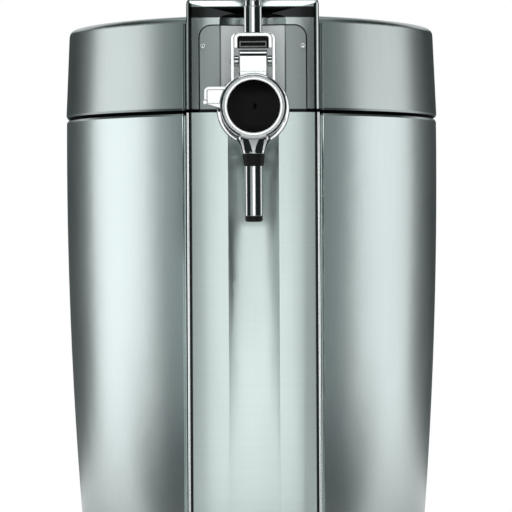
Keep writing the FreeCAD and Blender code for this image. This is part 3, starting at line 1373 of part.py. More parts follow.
def build_lid_core():
    """The lid's top panel, rim, inner dome and gasket."""
    low = s.seam_height + s.lid_gap
    under = s.lid_wall_top - s.lid_top_thick
    slab = Piece("top_slab", keep=False)
    slab.pad([barrel_outline(s.crown_radius, s.rear_depth, s.rear_corner)], under,
             s.lid_top_height + PAST)
    bowed = joined("top_bowed", [slab.body, bow_tool("bow_over", s.lid_top_height)],
                   "Part::MultiCommon")
    doc.recompute()

    def upper_edge(edge):
        return edge.BoundBox.ZMin > (under + s.lid_top_thick / 10).value

    rounded = doc.addObject("Part::Fillet", "top_rounded")
    rounded.Base = bowed
    roll = s.lid_top_round.value
    rounded.Edges = [(int(name[4:]), roll, roll) for name in edge_names(bowed.Shape, upper_edge)]
    hole = s.button_stem + s.part_gap
    well = rod("top_hole", hole, (0, -s.button_forward, under - PAST), s.lid_top_thick * 3, "z")
    half = s.column_half + s.part_gap
    slot = Piece("top_slot", keep=False)
    slot.pad([block_outline(-half, half, -s.column_reach, s.part_gap - s.column_back)],
             under - PAST, s.lid_top_height + PAST * 2)
    tools = joined("top_tools", [bow_tool("bow_under", s.lid_wall_top), well, slot.body])
    cut("lid_top", rounded, tools)

    rim_low = low + s.rim_rise
    rim_top = rim_low + s.rim_thick
    rim = Piece("lid_rim")
    inset = s.shell_wall + s.edge_roll / 2 + s.part_gap
    rim.pad([barrel_outline(s.lid_radius - inset, s.rear_depth - inset,
                            s.rear_corner - s.shell_wall)], rim_low, rim_top)
    rim.pocket([Circle(0, 0, s.rim_bore)], rim_low - PAST, rim_top + PAST)
    notch = block_outline(-s.notch_half, s.notch_half, -s.column_reach,
                          s.part_gap - s.column_back)
    rim.pocket([notch], rim_low - PAST, rim_top + PAST)
    rim.pocket([Circle(0, -s.button_forward, hole)], rim_low - PAST, rim_top + PAST)

    wall, radius = s.dome_wall, s.dome_radius
    flange_top = rim_top + s.dome_flange_thick
    dome = Outline(radius - wall, rim_top).line(s.dome_flange, rim_top)
    dome.line(s.dome_flange, flange_top).line(radius, flange_top)
    ceiling = s.lid_wall_top - s.dome_drop
    dome.line(radius, ceiling).line(0, ceiling)
    dome.line(0, ceiling - wall).line(radius - wall, ceiling - wall)
    Piece("lid_dome").turn([dome])
    ring = Outline(s.gasket_inner, s.seam_height + s.part_gap)
    ring.line(s.gasket_outer, s.seam_height + s.part_gap).line(s.gasket_outer, rim_top)
    ring.line(s.gasket_inner, rim_top)
    Piece("lid_gasket").turn([ring])


def build_hinge():
    """The lid hinge: bracket on the body, arm on the lid and the pin through both."""
    back, height, radius = s.hinge_back, s.seam_height + s.hinge_rise, s.knuckle_radius
    bore = s.hinge_pin_radius
    foot_top = s.seam_height + s.bracket_thick
    bracket = Piece("hinge_bracket")
    outer = s.lug_inner + s.lug_wide
    bracket.pad([block_outline(-outer, outer, back - radius, back + radius * 2)],
                s.seam_height, foot_top)
    for near, far in ((s.lug_inner, outer), (-outer, -s.lug_inner)):
        lug = Outline(back - radius, s.seam_height).line(back + radius, s.seam_height)
        lug.line(back + radius, height).arc(back, height + radius, radius, LEFT)
        lug.arc(back - radius, height, radius, LEFT)
        bracket.pad([lug, Circle(back, height, bore)], near, far, "YZ")
    inner = s.rear_depth + s.part_gap + s.cover_wall
    low = height - radius
    arm = Outline(inner, low).line(back, low).arc(back + radius, height, radius, LEFT)
    arm.arc(back, height + radius, radius, LEFT).line(inner + s.arm_thick, height + radius)
    arm.line(inner + s.arm_thick, s.arm_top).line(inner, s.arm_top)
    half = s.lug_inner - s.part_gap
    Piece("lid_hinge_arm").pad([arm, Circle(back, height, bore + s.pin_play)],
                               -half, half, "YZ")
    length = outer + s.pin_proud
    pin = rod("hinge_pin", bore, (-length, back, height), length * 2, "x")
    nodes.append(pin)


def build_release():
    """The sprung release button on the spine."""
    top = s.cover_top
    collar_top = top - s.cover_wall - s.part_gap
    stem_low = s.seam_height + s.catch_thick + s.stem_above
    knob = Outline(0, stem_low).line(s.button_stem, stem_low)
    knob.line(s.button_stem, s.collar_low).line(s.button_flange, s.collar_low)
    knob.line(s.button_flange, collar_top).line(s.button_radius, collar_top)
    knob.line(s.button_radius, top + s.button_proud / 2)
    knob.line(s.button_radius - s.button_proud / 2, top + s.button_proud)
    knob.line(0, top + s.button_proud)
    Piece("release_button", (0, -s.button_forward, 0)).turn([knob])
    coil("button_spring", s.spring_wire, s.spring_radius, s.lid_top_height, s.collar_low,
         s.spring_turns, 0, -s.button_forward)


# ---------------------------------------------------------------- tap

def build_tap():
    """Flange, tap body, valve and spout."""
    low, high = -s.flange_front, -s.flange_back
    flange = Piece("tap_flange")
    flange.pad([Circle(0, s.badge_height, s.flange_radius),
                Circle(0, s.feed_height, s.feed_bore)], low, high, "XZ")
    across, ahead, knuckle = s.door_across, -s.door_forward, s.door_knuckle
    near = s.badge_height - s.door_half
    far = s.badge_height + s.door_half
    gap = s.part_gap
    for bottom, top in ((near - gap - s.door_lug, near - gap), (far + gap, far + gap + s.door_lug)):
        lug = Outline(across + knuckle, low + PAST).line(across - knuckle, low + PAST)
        lug.line(across - knuckle, ahead).arc(across, ahead - knuckle, knuckle, LEFT)
        lug.arc(across + knuckle, ahead, knuckle, LEFT)
        flange.pad([lug, Circle(across, ahead, s.door_pin)], bottom, top)

    pivot_y, pivot_z, head = -s.pivot_forward, s.pivot_height, s.tap_top_radius
    front = -s.tap_front
    side = Outline(front, s.tap_low).line(low, s.tap_low).line(low, pivot_z - head)
    side.line(pivot_y + head, pivot_z - head).line(pivot_y + head, pivot_z)
    corner = s.tap_corner
    side.arc(pivot_y, pivot_z + head, head, LEFT).line(pivot_y - head + corner, pivot_z + head)
    side.arc(pivot_y - head, pivot_z + head - corner, corner, LEFT)
    side.line(pivot_y - head, pivot_z - s.tap_chin).line(front, s.tap_shoulder)
    body = Piece("tap_body")
    body.pad([side], -s.tap_half, s.tap_half, "YZ")
    spout_y = -s.spout_forward
    body.round(s.tap_edge, lambda edge: edge.BoundBox.XLength < PAST
               and edge.CenterOfMass.y < (pivot_y - head + corner).value)
    body.pocket([Circle(0, spout_y, s.valve_bore)], s.tap_low - PAST, s.valve_top)
    body.pocket([Circle(0, s.feed_height, s.feed_bore)], spout_y, low + PAST, "XZ")
    body.pocket([Circle(pivot_y, pivot_z, s.pivot_radius + s.pin_play)],
                -s.tap_half - PAST, s.tap_half + PAST, "YZ")

    plunger_top = s.plunger_low + s.plunger_long
    plunger = rod("valve_plunger", s.valve_bore - s.valve_play, (0, spout_y, s.plunger_low),
                  s.plunger_long)
    nodes.append(plunger)
    coil("valve_spring", s.valve_wire, s.valve_coil, plunger_top, s.valve_top,
         s.valve_turns, 0, spout_y)

    bore = s.spout_bore
    place = (0, spout_y, 0)
    band = s.cone_top - s.cone_band
    cone = Outline(bore, s.cone_bottom).line(s.cone_narrow, s.cone_bottom)
    cone.arc(s.cone_wide, band, (s.cone_top - s.cone_bottom) * 2, RIGHT)
    cone.line(s.cone_wide, s.cone_top).line(bore, s.cone_top)
    Piece("spout_cone", place).turn([cone])
    seal = Outline(bore, s.seal_bottom).line(s.seal_narrow, s.seal_bottom)
    seal.line(s.seal_wide, s.cone_bottom).line(bore, s.cone_bottom)
    Piece("spout_seal", place).turn([seal])
    tube = Outline(bore, s.tube_bottom).line(s.tube_radius, s.tube_bottom)
    tube.line(s.tube_radius, s.seal_bottom).line(bore, s.seal_bottom)
    Piece("spout_tube", place).turn([tube])
    edge = s.small_bevel
    tip = Outline(s.tip_bore, s.tip_bottom).line(s.tip_radius - edge, s.tip_bottom)
    tip.line(s.tip_radius, s.tip_bottom + edge).line(s.tip_radius, s.tube_bottom)
    tip.line(s.tip_bore, s.tube_bottom)
    Piece("spout_tip", place).turn([tip])


def build_lever():
    """The yoke, its pivot pin and the handle."""
    half, bar, top, corner, low = s.yoke_half, s.yoke_bar, s.yoke_top, s.yoke_corner, s.yoke_low
    pivot_y, pivot_z = -s.pivot_forward, s.pivot_height
    deep = s.yoke_deep / 2
    inner, bend = half - s.yoke_cheek, corner - bar
    side = Outline(0, top - bar).line(inner - bend, top - bar)
    side.arc(inner, top - bar - bend, bend, RIGHT).line(inner, s.insert_low)
    side.line(half - bar, s.insert_low).line(half - bar, low)
    side.line(half, low).line(half, top - corner)
    side.arc(half - corner, top, corner, LEFT).line(0, top)
    yoke = Piece("lever_yoke")
    yoke.pad([side.doubled()], pivot_y - deep, pivot_y + deep, "XZ")
    yoke.round(deep - s.small_bevel,
               lambda edge: lies_at(edge, "z", low) and edge.BoundBox.YLength < PAST)
    step = half - s.yoke_step
    yoke.pocket([block_outline(-half - PAST, half + PAST, low - PAST * 2, top + PAST),
                 round_block(step, low - PAST, top, corner)],
                pivot_y - deep - PAST, pivot_y - deep + s.step_deep, "XZ")
    yoke.pocket([Circle(pivot_y, pivot_z, s.pivot_radius)], -half - PAST, half + PAST, "YZ")

    collar = half - bar - s.tap_half - s.part_gap
    reach = half + s.pivot_proud
    first = rod("pivot_rod", s.pivot_radius, (-reach, pivot_y, pivot_z), reach * 2, "x")
    left = rod("pivot_left", s.collar_radius, (bar - half, pivot_y, pivot_z), collar, "x")
    right = rod("pivot_right", s.collar_radius, (s.tap_half + s.part_gap, pivot_y, pivot_z),
                collar, "x")
    joined("pivot_pin", [first, left, right], keep=True)

    insert_front = pivot_y - s.insert_deep / 2
    insert = Piece("yoke_insert")
    insert.pad([round_block(inner, s.insert_low, top - bar, bend)],
               insert_front, pivot_y + s.insert_deep / 2, "XZ")
    frame = Piece("slot_frame")
    wide, tall, thin = s.frame_half, s.frame_tall, s.frame_bar
    base = s.frame_low
    frame.pad([block_outline(-wide, wide, base, base + tall),
               block_outline(thin - wide, wide - thin, base + thin, base + tall - thin)],
              insert_front - s.frame_proud, insert_front, "XZ")

    place = (0, pivot_y, 0)
    stem = Outline(0, top).line(s.stem_radius, top).line(s.stem_radius, s.stem_top)
    Piece("lever_stem", place).turn([stem.line(0, s.stem_top)])
    ring, groove = s.ferrule_radius, s.ferrule_groove
    middle = (s.stem_top + s.ferrule_top) / 2
    ferrule = Outline(0, s.stem_top).line(ring, s.stem_top).line(ring, middle - groove)
    ferrule.line(ring - groove, middle - groove).line(ring - groove, middle + groove)
    ferrule.line(ring, middle + groove).line(ring, s.ferrule_top).line(0, s.ferrule_top)
    Piece("handle_ferrule", place).turn([ferrule])
    grip = Outline(0, s.ferrule_top).line(s.grip_foot, s.ferrule_top)
    grip.line(s.grip_waist, s.grip_waist_height).line(s.grip_head, s.grip_top - s.grip_shoulder)
    grip.arc(s.grip_head - s.grip_inset, s.grip_top, s.grip_round, LEFT).line(0, s.grip_top)
    Piece("handle_grip", place).turn([grip])
    cap = Outline(0, s.grip_top).line(s.cap_radius, s.grip_top)
    rise = s.cap_top - s.grip_top
    cap.arc(0, s.cap_top, (s.cap_radius * s.cap_radius / rise + rise) / 2, LEFT)
    Piece("handle_cap", place).turn([cap])


def build_badge():
    """The hinged round badge in front of the tap."""
    back, front, radius = -s.ring_back, -s.ring_front, s.ring_radius
    plate = back - s.ring_plate
    inner = s.ring_inner
    lip, roll, groove = inner + s.ring_flat, s.ring_roll, front + s.ring_groove
    edge = s.small_bevel
    profile = Outline(back, 0).line(back, radius - edge).line(back - edge, radius)
    profile.line(front + roll, radius).arc(front, radius - roll, roll, LEFT)
    profile.line(groove, radius - roll).line(groove, lip).line(front, lip)
    profile.line(front, inner).line(plate, inner).line(plate, 0)
    ring = Piece("badge_ring", (0, 0, s.badge_height))
    ring.turn([profile], "YZ", "H_Axis")
    reach, top = s.tab_reach, s.tab_top - s.badge_height
    low = s.tab_low - s.badge_height
    corner, slant, rim, stud = s.tab_corner, s.tab_slant, s.tab_rim, s.tab_stud
    tab = Outline(-front_of(lip, low), low).arc(-front_of(lip, top), top, lip, RIGHT)
    tab.line(corner - reach, top).arc(-reach, top - corner, corner, LEFT)
    tab.line(-reach, low + slant)
    tab_front = back - s.tab_thick
    ring.pad([tab], tab_front, back, "XZ")
    ceiling, ground, outside = top - rim, low + slant, radius + edge / 2
    recess = Outline(-front_of(outside, ground), ground)
    recess.arc(-front_of(outside, ceiling), ceiling, outside, RIGHT)
    recess.line(corner - reach, ceiling).arc(rim - reach, top - corner, corner - rim, LEFT)
    recess.line(rim - reach, ground)
    ring.pocket([recess], tab_front - PAST, tab_front + s.tab_recess, "XZ")
    ring.pad([Circle(stud / 2 - reach, ground + stud / 2, stud)], tab_front - edge, tab_front + edge, "XZ")
    across, ahead, knuckle = s.door_across, -s.door_forward, s.door_knuckle
    arm = Outline(across - knuckle, back).line(across + knuckle - edge, back)
    arm.line(across + knuckle, ahead).arc(across, ahead + knuckle, knuckle, LEFT)
    arm.arc(across - knuckle, ahead, knuckle, LEFT)
    ring.pad([arm, Circle(across, ahead, s.door_pin + s.pin_play)], -s.door_half, s.door_half)
    crown = Outline(plate, 0).line(plate, s.disc_radius).line(-s.disc_rim, s.disc_radius)
    bow = (s.disc_radius * s.disc_radius / s.disc_crown + s.disc_crown) / 2
    crown.arc(-s.disc_rim - s.disc_crown, 0, bow, LEFT)
    Piece("badge_disc", (0, 0, s.badge_height)).turn([crown], "YZ", "H_Axis")
    length = (s.door_half + s.part_gap + s.door_lug) * 2 + s.pin_proud
    pin = rod("badge_pin", s.door_pin, (across, ahead, s.badge_height - length / 2), length)
    nodes.append(pin)


def write_parts():
    """Check every object, then write one STEP file for each piece."""
    doc.recompute()
    failed = [item.Label for item in doc.Objects
              if "Invalid" in item.State or "Error" in item.State]
    if failed:
        raise RuntimeError("failed: " + ", ".join(failed))
    os.makedirs("parts", exist_ok=True)
    for item in nodes:
        shape = item.Shape
        if shape.isNull() or not shape.isValid() or not shape.Solids:
            raise RuntimeError("%s has no valid solid" % item.Label)
        shape.exportStep("parts/%s.step" % item.Label)


fill_sheet()
build_shells(lid=False)
build_column()
build_base()
build_deck()
build_chamber()
build_cooler()
build_rear()
build_power()
build_tray()
build_console()
build_shells(lid=True)
build_spine()
build_lid_core()
build_hinge()
build_release()
build_tap()
build_lever()
build_badge()
write_parts()
print("%d pieces written" % len(nodes))
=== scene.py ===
import math

import bmesh
import bpy
from bpy.props import FloatProperty, FloatVectorProperty, PointerProperty
from bpy.types import Operator, Panel, PropertyGroup
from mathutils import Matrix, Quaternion, Vector


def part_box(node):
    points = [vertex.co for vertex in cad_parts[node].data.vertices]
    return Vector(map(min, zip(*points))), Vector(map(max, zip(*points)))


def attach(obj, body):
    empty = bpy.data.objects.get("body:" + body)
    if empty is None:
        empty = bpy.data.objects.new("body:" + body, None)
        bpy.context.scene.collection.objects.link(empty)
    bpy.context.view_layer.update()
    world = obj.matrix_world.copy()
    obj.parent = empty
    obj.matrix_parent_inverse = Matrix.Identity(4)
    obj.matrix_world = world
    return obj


bl_info = {
    "name": "Keg Beer Dispenser",
    "version": (1, 0, 0),
    "blender": (4, 5, 0),
    "location": "3D View > Sidebar > Keg Dispenser",
    "description": "Finishes, small fittings and a studio for a mini keg beer dispenser",
    "category": "Object",
}

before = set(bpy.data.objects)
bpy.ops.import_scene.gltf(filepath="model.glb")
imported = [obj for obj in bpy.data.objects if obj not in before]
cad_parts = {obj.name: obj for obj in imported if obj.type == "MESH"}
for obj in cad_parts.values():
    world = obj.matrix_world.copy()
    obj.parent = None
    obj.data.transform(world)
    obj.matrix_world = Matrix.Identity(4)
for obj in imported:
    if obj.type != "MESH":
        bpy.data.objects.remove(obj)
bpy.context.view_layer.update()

# Where painted light and shade, and the polish of beads and rolled edges, begin and end on the steel, in
# metres from an edge of the piece. Each pair holds the place where the painted tone begins to show and the
# place where it has taken over.
SHELL_ROLL = (0.0032, 0.0027)  # painted highlight on the polished rolled front edge of a side shell, out from its end beside the column
COLUMN_FRONT = (0.0054, 0.0047)  # front of the column, back from its foremost point
COLUMN_GROOVE_SHADE = (-0.0037, -0.0034)  # painted shade in the groove beside the column's bead, in from the column's side
COLUMN_BEAD = (-0.0018, -0.0016)  # the polished bead, with a painted highlight, in from the column's side
NICHE_SIDE = (-0.0147, -0.0157)  # niche behind the tap, painted pale as a reflection, in from the console's side
CONSOLE_FOOT = (0.0023, 0.0020)  # painted shadow in the gap under the console, up from its lower edge
SPINE_FRONT = (0.014, 0.012)  # front of the spine, back from its foremost point
SPINE_FLANK_SHADE = (-0.0250, -0.0235)  # painted shade on the sides of the spine's front, in from the spine's side
BAND_SIDE = (-0.0016, -0.0020)  # ends of the spine's dark band, a painted reflection, in from the spine's side
BAND_FOOT = (-0.0204, -0.0198)  # lower edge of the painted dark band, down from the spine's top
BAND_HEAD = (-0.0124, -0.0118)  # upper edge of the painted dark band, down from the spine's top
LINE_FRONT = (0.005, 0.004)  # painted lines of shade and highlight down the spine's two edges, back from its foremost point
LEFT_SHADE_LINE = (0.0028, 0.0022)  # painted shade line, in from the spine's left side
RIGHT_SHADE = (-0.0034, -0.0030)  # painted shade strip, in from the spine's right side
RIGHT_HIGHLIGHT = (-0.0016, -0.0013)  # painted highlight line, in from the spine's right side

# How those finishes differ.
COLUMN_GRAIN = 0.6  # share of the barrel's grain on the column, the console and the spine
SHELL_POLISH = 0.12  # roughness of the shells' rolled edges
BEAD_POLISH = 0.14  # roughness of the column's beads
NICHE_METAL = 0.05  # how metallic the niche is; low, so that its pale painted reflection shows

# The studs on the console's arch, in metres.
STUD_ASIDE = 0.0021  # in from the console's side
STUD_SUNK = 0.0008  # behind the console's foremost point
STUD_DROP = 0.0145  # below the console's top
STUD_ROOT = 0.0015  # root inside the console

# Tones of the studio's cards.
DARK = (0.02, 0.026, 0.027)
EDGE = (0.19, 0.22, 0.22)
GREY = (0.28, 0.32, 0.32)
CEILING = (0.38, 0.41, 0.41)
PALE = (0.52, 0.58, 0.58)

# Curved cards: name, radius, two angles from the front in degrees, lower and upper edge, tone.
CURVED_CARDS = (
    ("back_card", 1.0, (124.0, 236.0), (0.0, 0.65), DARK),
    ("side_card_left", 1.45, (-126.0, -54.0), (0.0, 2.4), DARK),
    ("side_card_right", 1.45, (54.0, 126.0), (0.0, 2.4), DARK),
    ("front_card_left_outer", 1.0, (-57.0, -36.0), (0.0, 1.7), GREY),
    ("front_card_left_inner", 1.0, (-36.0, -19.0), (0.0, 1.7), PALE),
    ("front_card_left_edge", 1.0, (-19.0, -15.0), (0.0, 0.5), EDGE),
    ("front_card_right_edge", 1.0, (15.5, 19.0), (0.0, 0.5), EDGE),
    ("front_card_right_inner", 1.0, (19.0, 36.0), (0.0, 1.7), DARK),
    ("front_card_right_outer", 1.0, (36.0, 57.0), (0.0, 1.7), GREY),
    ("front_card_middle", 3.8, (-16.0, 16.0), (0.0, 5.0), DARK),
)
CARD_STEPS = 12  # flat strips in a curved card

# Level cards: name, reach along x, reach along y, height, tone.
LEVEL_CARDS = (
    ("ceiling_card", (-1.8, 1.8), (-1.8, 1.8), 2.5, CEILING),
    ("floor_card_left", (-1.0, -0.16), (-1.0, -0.17), 0.003, DARK),
    ("floor_card_right", (0.16, 1.0), (-1.0, -0.17), 0.003, DARK),
)

# Cards that stand beside the tap: name, place along x, reach along y, reach in height, tone.
UPRIGHT_CARDS = (
    ("tap_flag_left", -0.085, (-0.27, -0.17), (0.24, 0.52), DARK),
    ("tap_flag_right", 0.085, (-0.27, -0.17), (0.24, 0.52), DARK),
)

# Lamps: name, place, the point that it faces, width, height, power setting and the share of it.
LAMPS = (
    ("side_lamp_left", (-1.2, -0.10, 0.22), (0.0, -0.10, 0.22), 1.1, 1.04, "side_light", 1.05),
    ("side_lamp_right", (1.2, -0.10, 0.22), (0.0, -0.10, 0.22), 1.1, 1.04, "side_light", 0.85),
    ("front_lamp", (0.03, -3.5, 0.32), (0.0, 0.0, 0.32), 1.76, 1.16, "front_light", 1.0),
    ("overhead_lamp", (0.0, -0.75, 2.2), (0.0, 0.0, 0.24), 1.8, 0.7, "top_light", 1.0),
)

# The rest of the studio, in metres.
FLOOR_FADE = (0.35, 0.75)  # where the floor turns from shadowed to plain white, from the middle
WORLD_LIGHT = 0.45  # strength of the world's light on the dispenser
CAMERA_SPOT = (-0.024, -2.95, 0.214)
CAMERA_AIM = (0.0029, 0.0, 0.240)
CAMERA_REACH = 200.0
FILM_WIDTH = 36.0  # millimetres


# ---------------------------------------------------------------- properties

def colour(name, description, default):
    """A colour property with the swatch that the sidebar shows."""
    return FloatVectorProperty(name=name, description=description, subtype="COLOR", size=3,
                               min=0.0, max=1.0, default=default)


def amount(name, description, default):
    """A factor between 0 and 1."""
    return FloatProperty(name=name, description=description, subtype="FACTOR",
                         min=0.0, max=1.0, default=default)


def length(name, description, default):
    """A length in metres."""
    return FloatProperty(name=name, description=description, unit="LENGTH", precision=4,
                         min=0.0, default=default)


def power(name, description, default):
    """The power of a lamp in watts."""
    return FloatProperty(name=name, description=description, unit="POWER", min=0.0, default=default)


class SteelSettings(PropertyGroup):
    """Satin and bright steel of the barrel, the column and the lid."""
    shell: colour("Barrel steel", "Satin steel of the two side shells", (0.60, 0.675, 0.67))
    # Painted shade: the lid's steel is a darker copy of the barrel's steel.
    lid: colour("Lid steel", "Satin steel of the lid's shells and top", (0.46, 0.515, 0.51))
    column: colour("Column steel", "Bright satin steel of the column", (0.76, 0.875, 0.85))
    # Painted shade: the console and spine steel is a darker copy of the column's steel.
    spine: colour("Spine steel", "Satin steel of the tap console and the lid's spine", (0.42, 0.475, 0.47))
    # Painted reflection: the niche is painted pale, nearly non-metallic, in place of the steel's bright
    # reflection.
    niche: colour("Niche steel", "Bright steel behind the tap", (0.91, 0.97, 0.96))
    # Painted highlight: the colour of the shells' rolled edges, the column's beads and the spine's right
    # edge line.
    painted_highlight: colour("Bright edge", "Polished beads and rolled edges", (0.93, 0.95, 0.95))
    # Painted shade and dark reflections: the column's grooves, the console's foot, and the spine's dark band
    # and left line.
    painted_shade_and_reflection: colour("Groove", "Shadowed grooves, gaps and dark lines in the steel", (0.02, 0.022, 0.022))
    shell_roughness: amount("Barrel roughness", "Width of the barrel's soft reflections", 0.30)
    column_roughness: amount("Column roughness", "Width of the column's reflections", 0.30)
    column_stretch: amount("Column stretch", "How far the column spreads reflections up and down", 0.95)
    console_roughness: amount("Console roughness", "Width of the console's reflections", 0.40)
    spine_roughness: amount("Spine roughness", "Width of the spine's reflections", 0.15)
    grain: amount("Grain", "Strength of the brushing", 0.035)
    anisotropy: amount("Stretch", "How far the brushing spreads reflections sideways", 0.3)


class TapSettings(PropertyGroup):
    """Chrome, black enamel and rubber of the tap."""
    chrome: colour("Chrome", "Plated parts of the tap and its handle", (0.56, 0.58, 0.58))
    chrome_roughness: amount("Chrome roughness", "Blur of the plating", 0.06)
    enamel: colour("Black enamel", "Gloss black badge, grip and insert", (0.002, 0.002, 0.0024))
    dark_chrome: colour("Dark chrome", "Smoked plating of the slot's frame", (0.16, 0.165, 0.165))
    rubber: colour("Rubber", "Seal, tip, gasket and feet", (0.006, 0.006, 0.006))
    stud_radius: length("Stud radius", "Small bright studs on the console's arch", 0.0016)
    stud_proud: length("Stud height", "How far the studs stand out of the console", 0.0009)


class PlasticSettings(PropertyGroup):
    """Moulded plastics of the base, deck and back."""
    black: colour("Black plastic", "Base, tray, rear cover and fan", (0.022, 0.022, 0.024))
    deck: colour("Deck plastic", "Dark grey top deck, lid rim and inner dome", (0.075, 0.08, 0.083))
    texture: length("Texture", "Size of the moulded grain", 0.0007)
    edge_wear: amount("Edge wear", "How far worn edges lighten", 0.25)


class InsideSettings(PropertyGroup):
    """Chamber, insulation and cooling train."""
    liner: colour("Liner", "Spun aluminium of the keg chamber", (0.72, 0.73, 0.74))
    foam: colour("Foam", "Moulded bead foam", (0.80, 0.79, 0.75))
    foam_bead: length("Foam bead", "Size of the foam's beads", 0.0035)
    board: colour("Circuit board", "Solder mask", (0.01, 0.13, 0.045))
    supply: colour("Supply case", "Zinc plated sheet", (0.46, 0.47, 0.46))
    ceramic: colour("Module", "White ceramic of the cooling module", (0.82, 0.81, 0.78))
    light: colour("Ready light", "Lens of the ready light", (0.05, 0.62, 0.12))


class StudioSettings(PropertyGroup):
    """Floor, lamps and camera."""
    floor: colour("Floor", "Pale floor round the dispenser", (0.86, 0.86, 0.86))
    floor_size: length("Floor size", "Side of the square floor", 40.0)
    side_light: power("Side lamps", "Power of each tall side lamp", 5.3)
    front_light: power("Front lamp", "Power of the lamp behind the camera", 12.5)
    top_light: power("Overhead lamp", "Power of the overhead lamp", 10.0)
    lens: FloatProperty(name="Lens", description="Focal length on a 36 mm frame", subtype="DISTANCE_CAMERA",
                        min=1.0, default=272.6)
    roll: FloatProperty(name="Roll", description="Turn of the camera about its line of sight",
                        subtype="ANGLE", default=-0.0054)


# ------------------------------------------------------------------- finishes

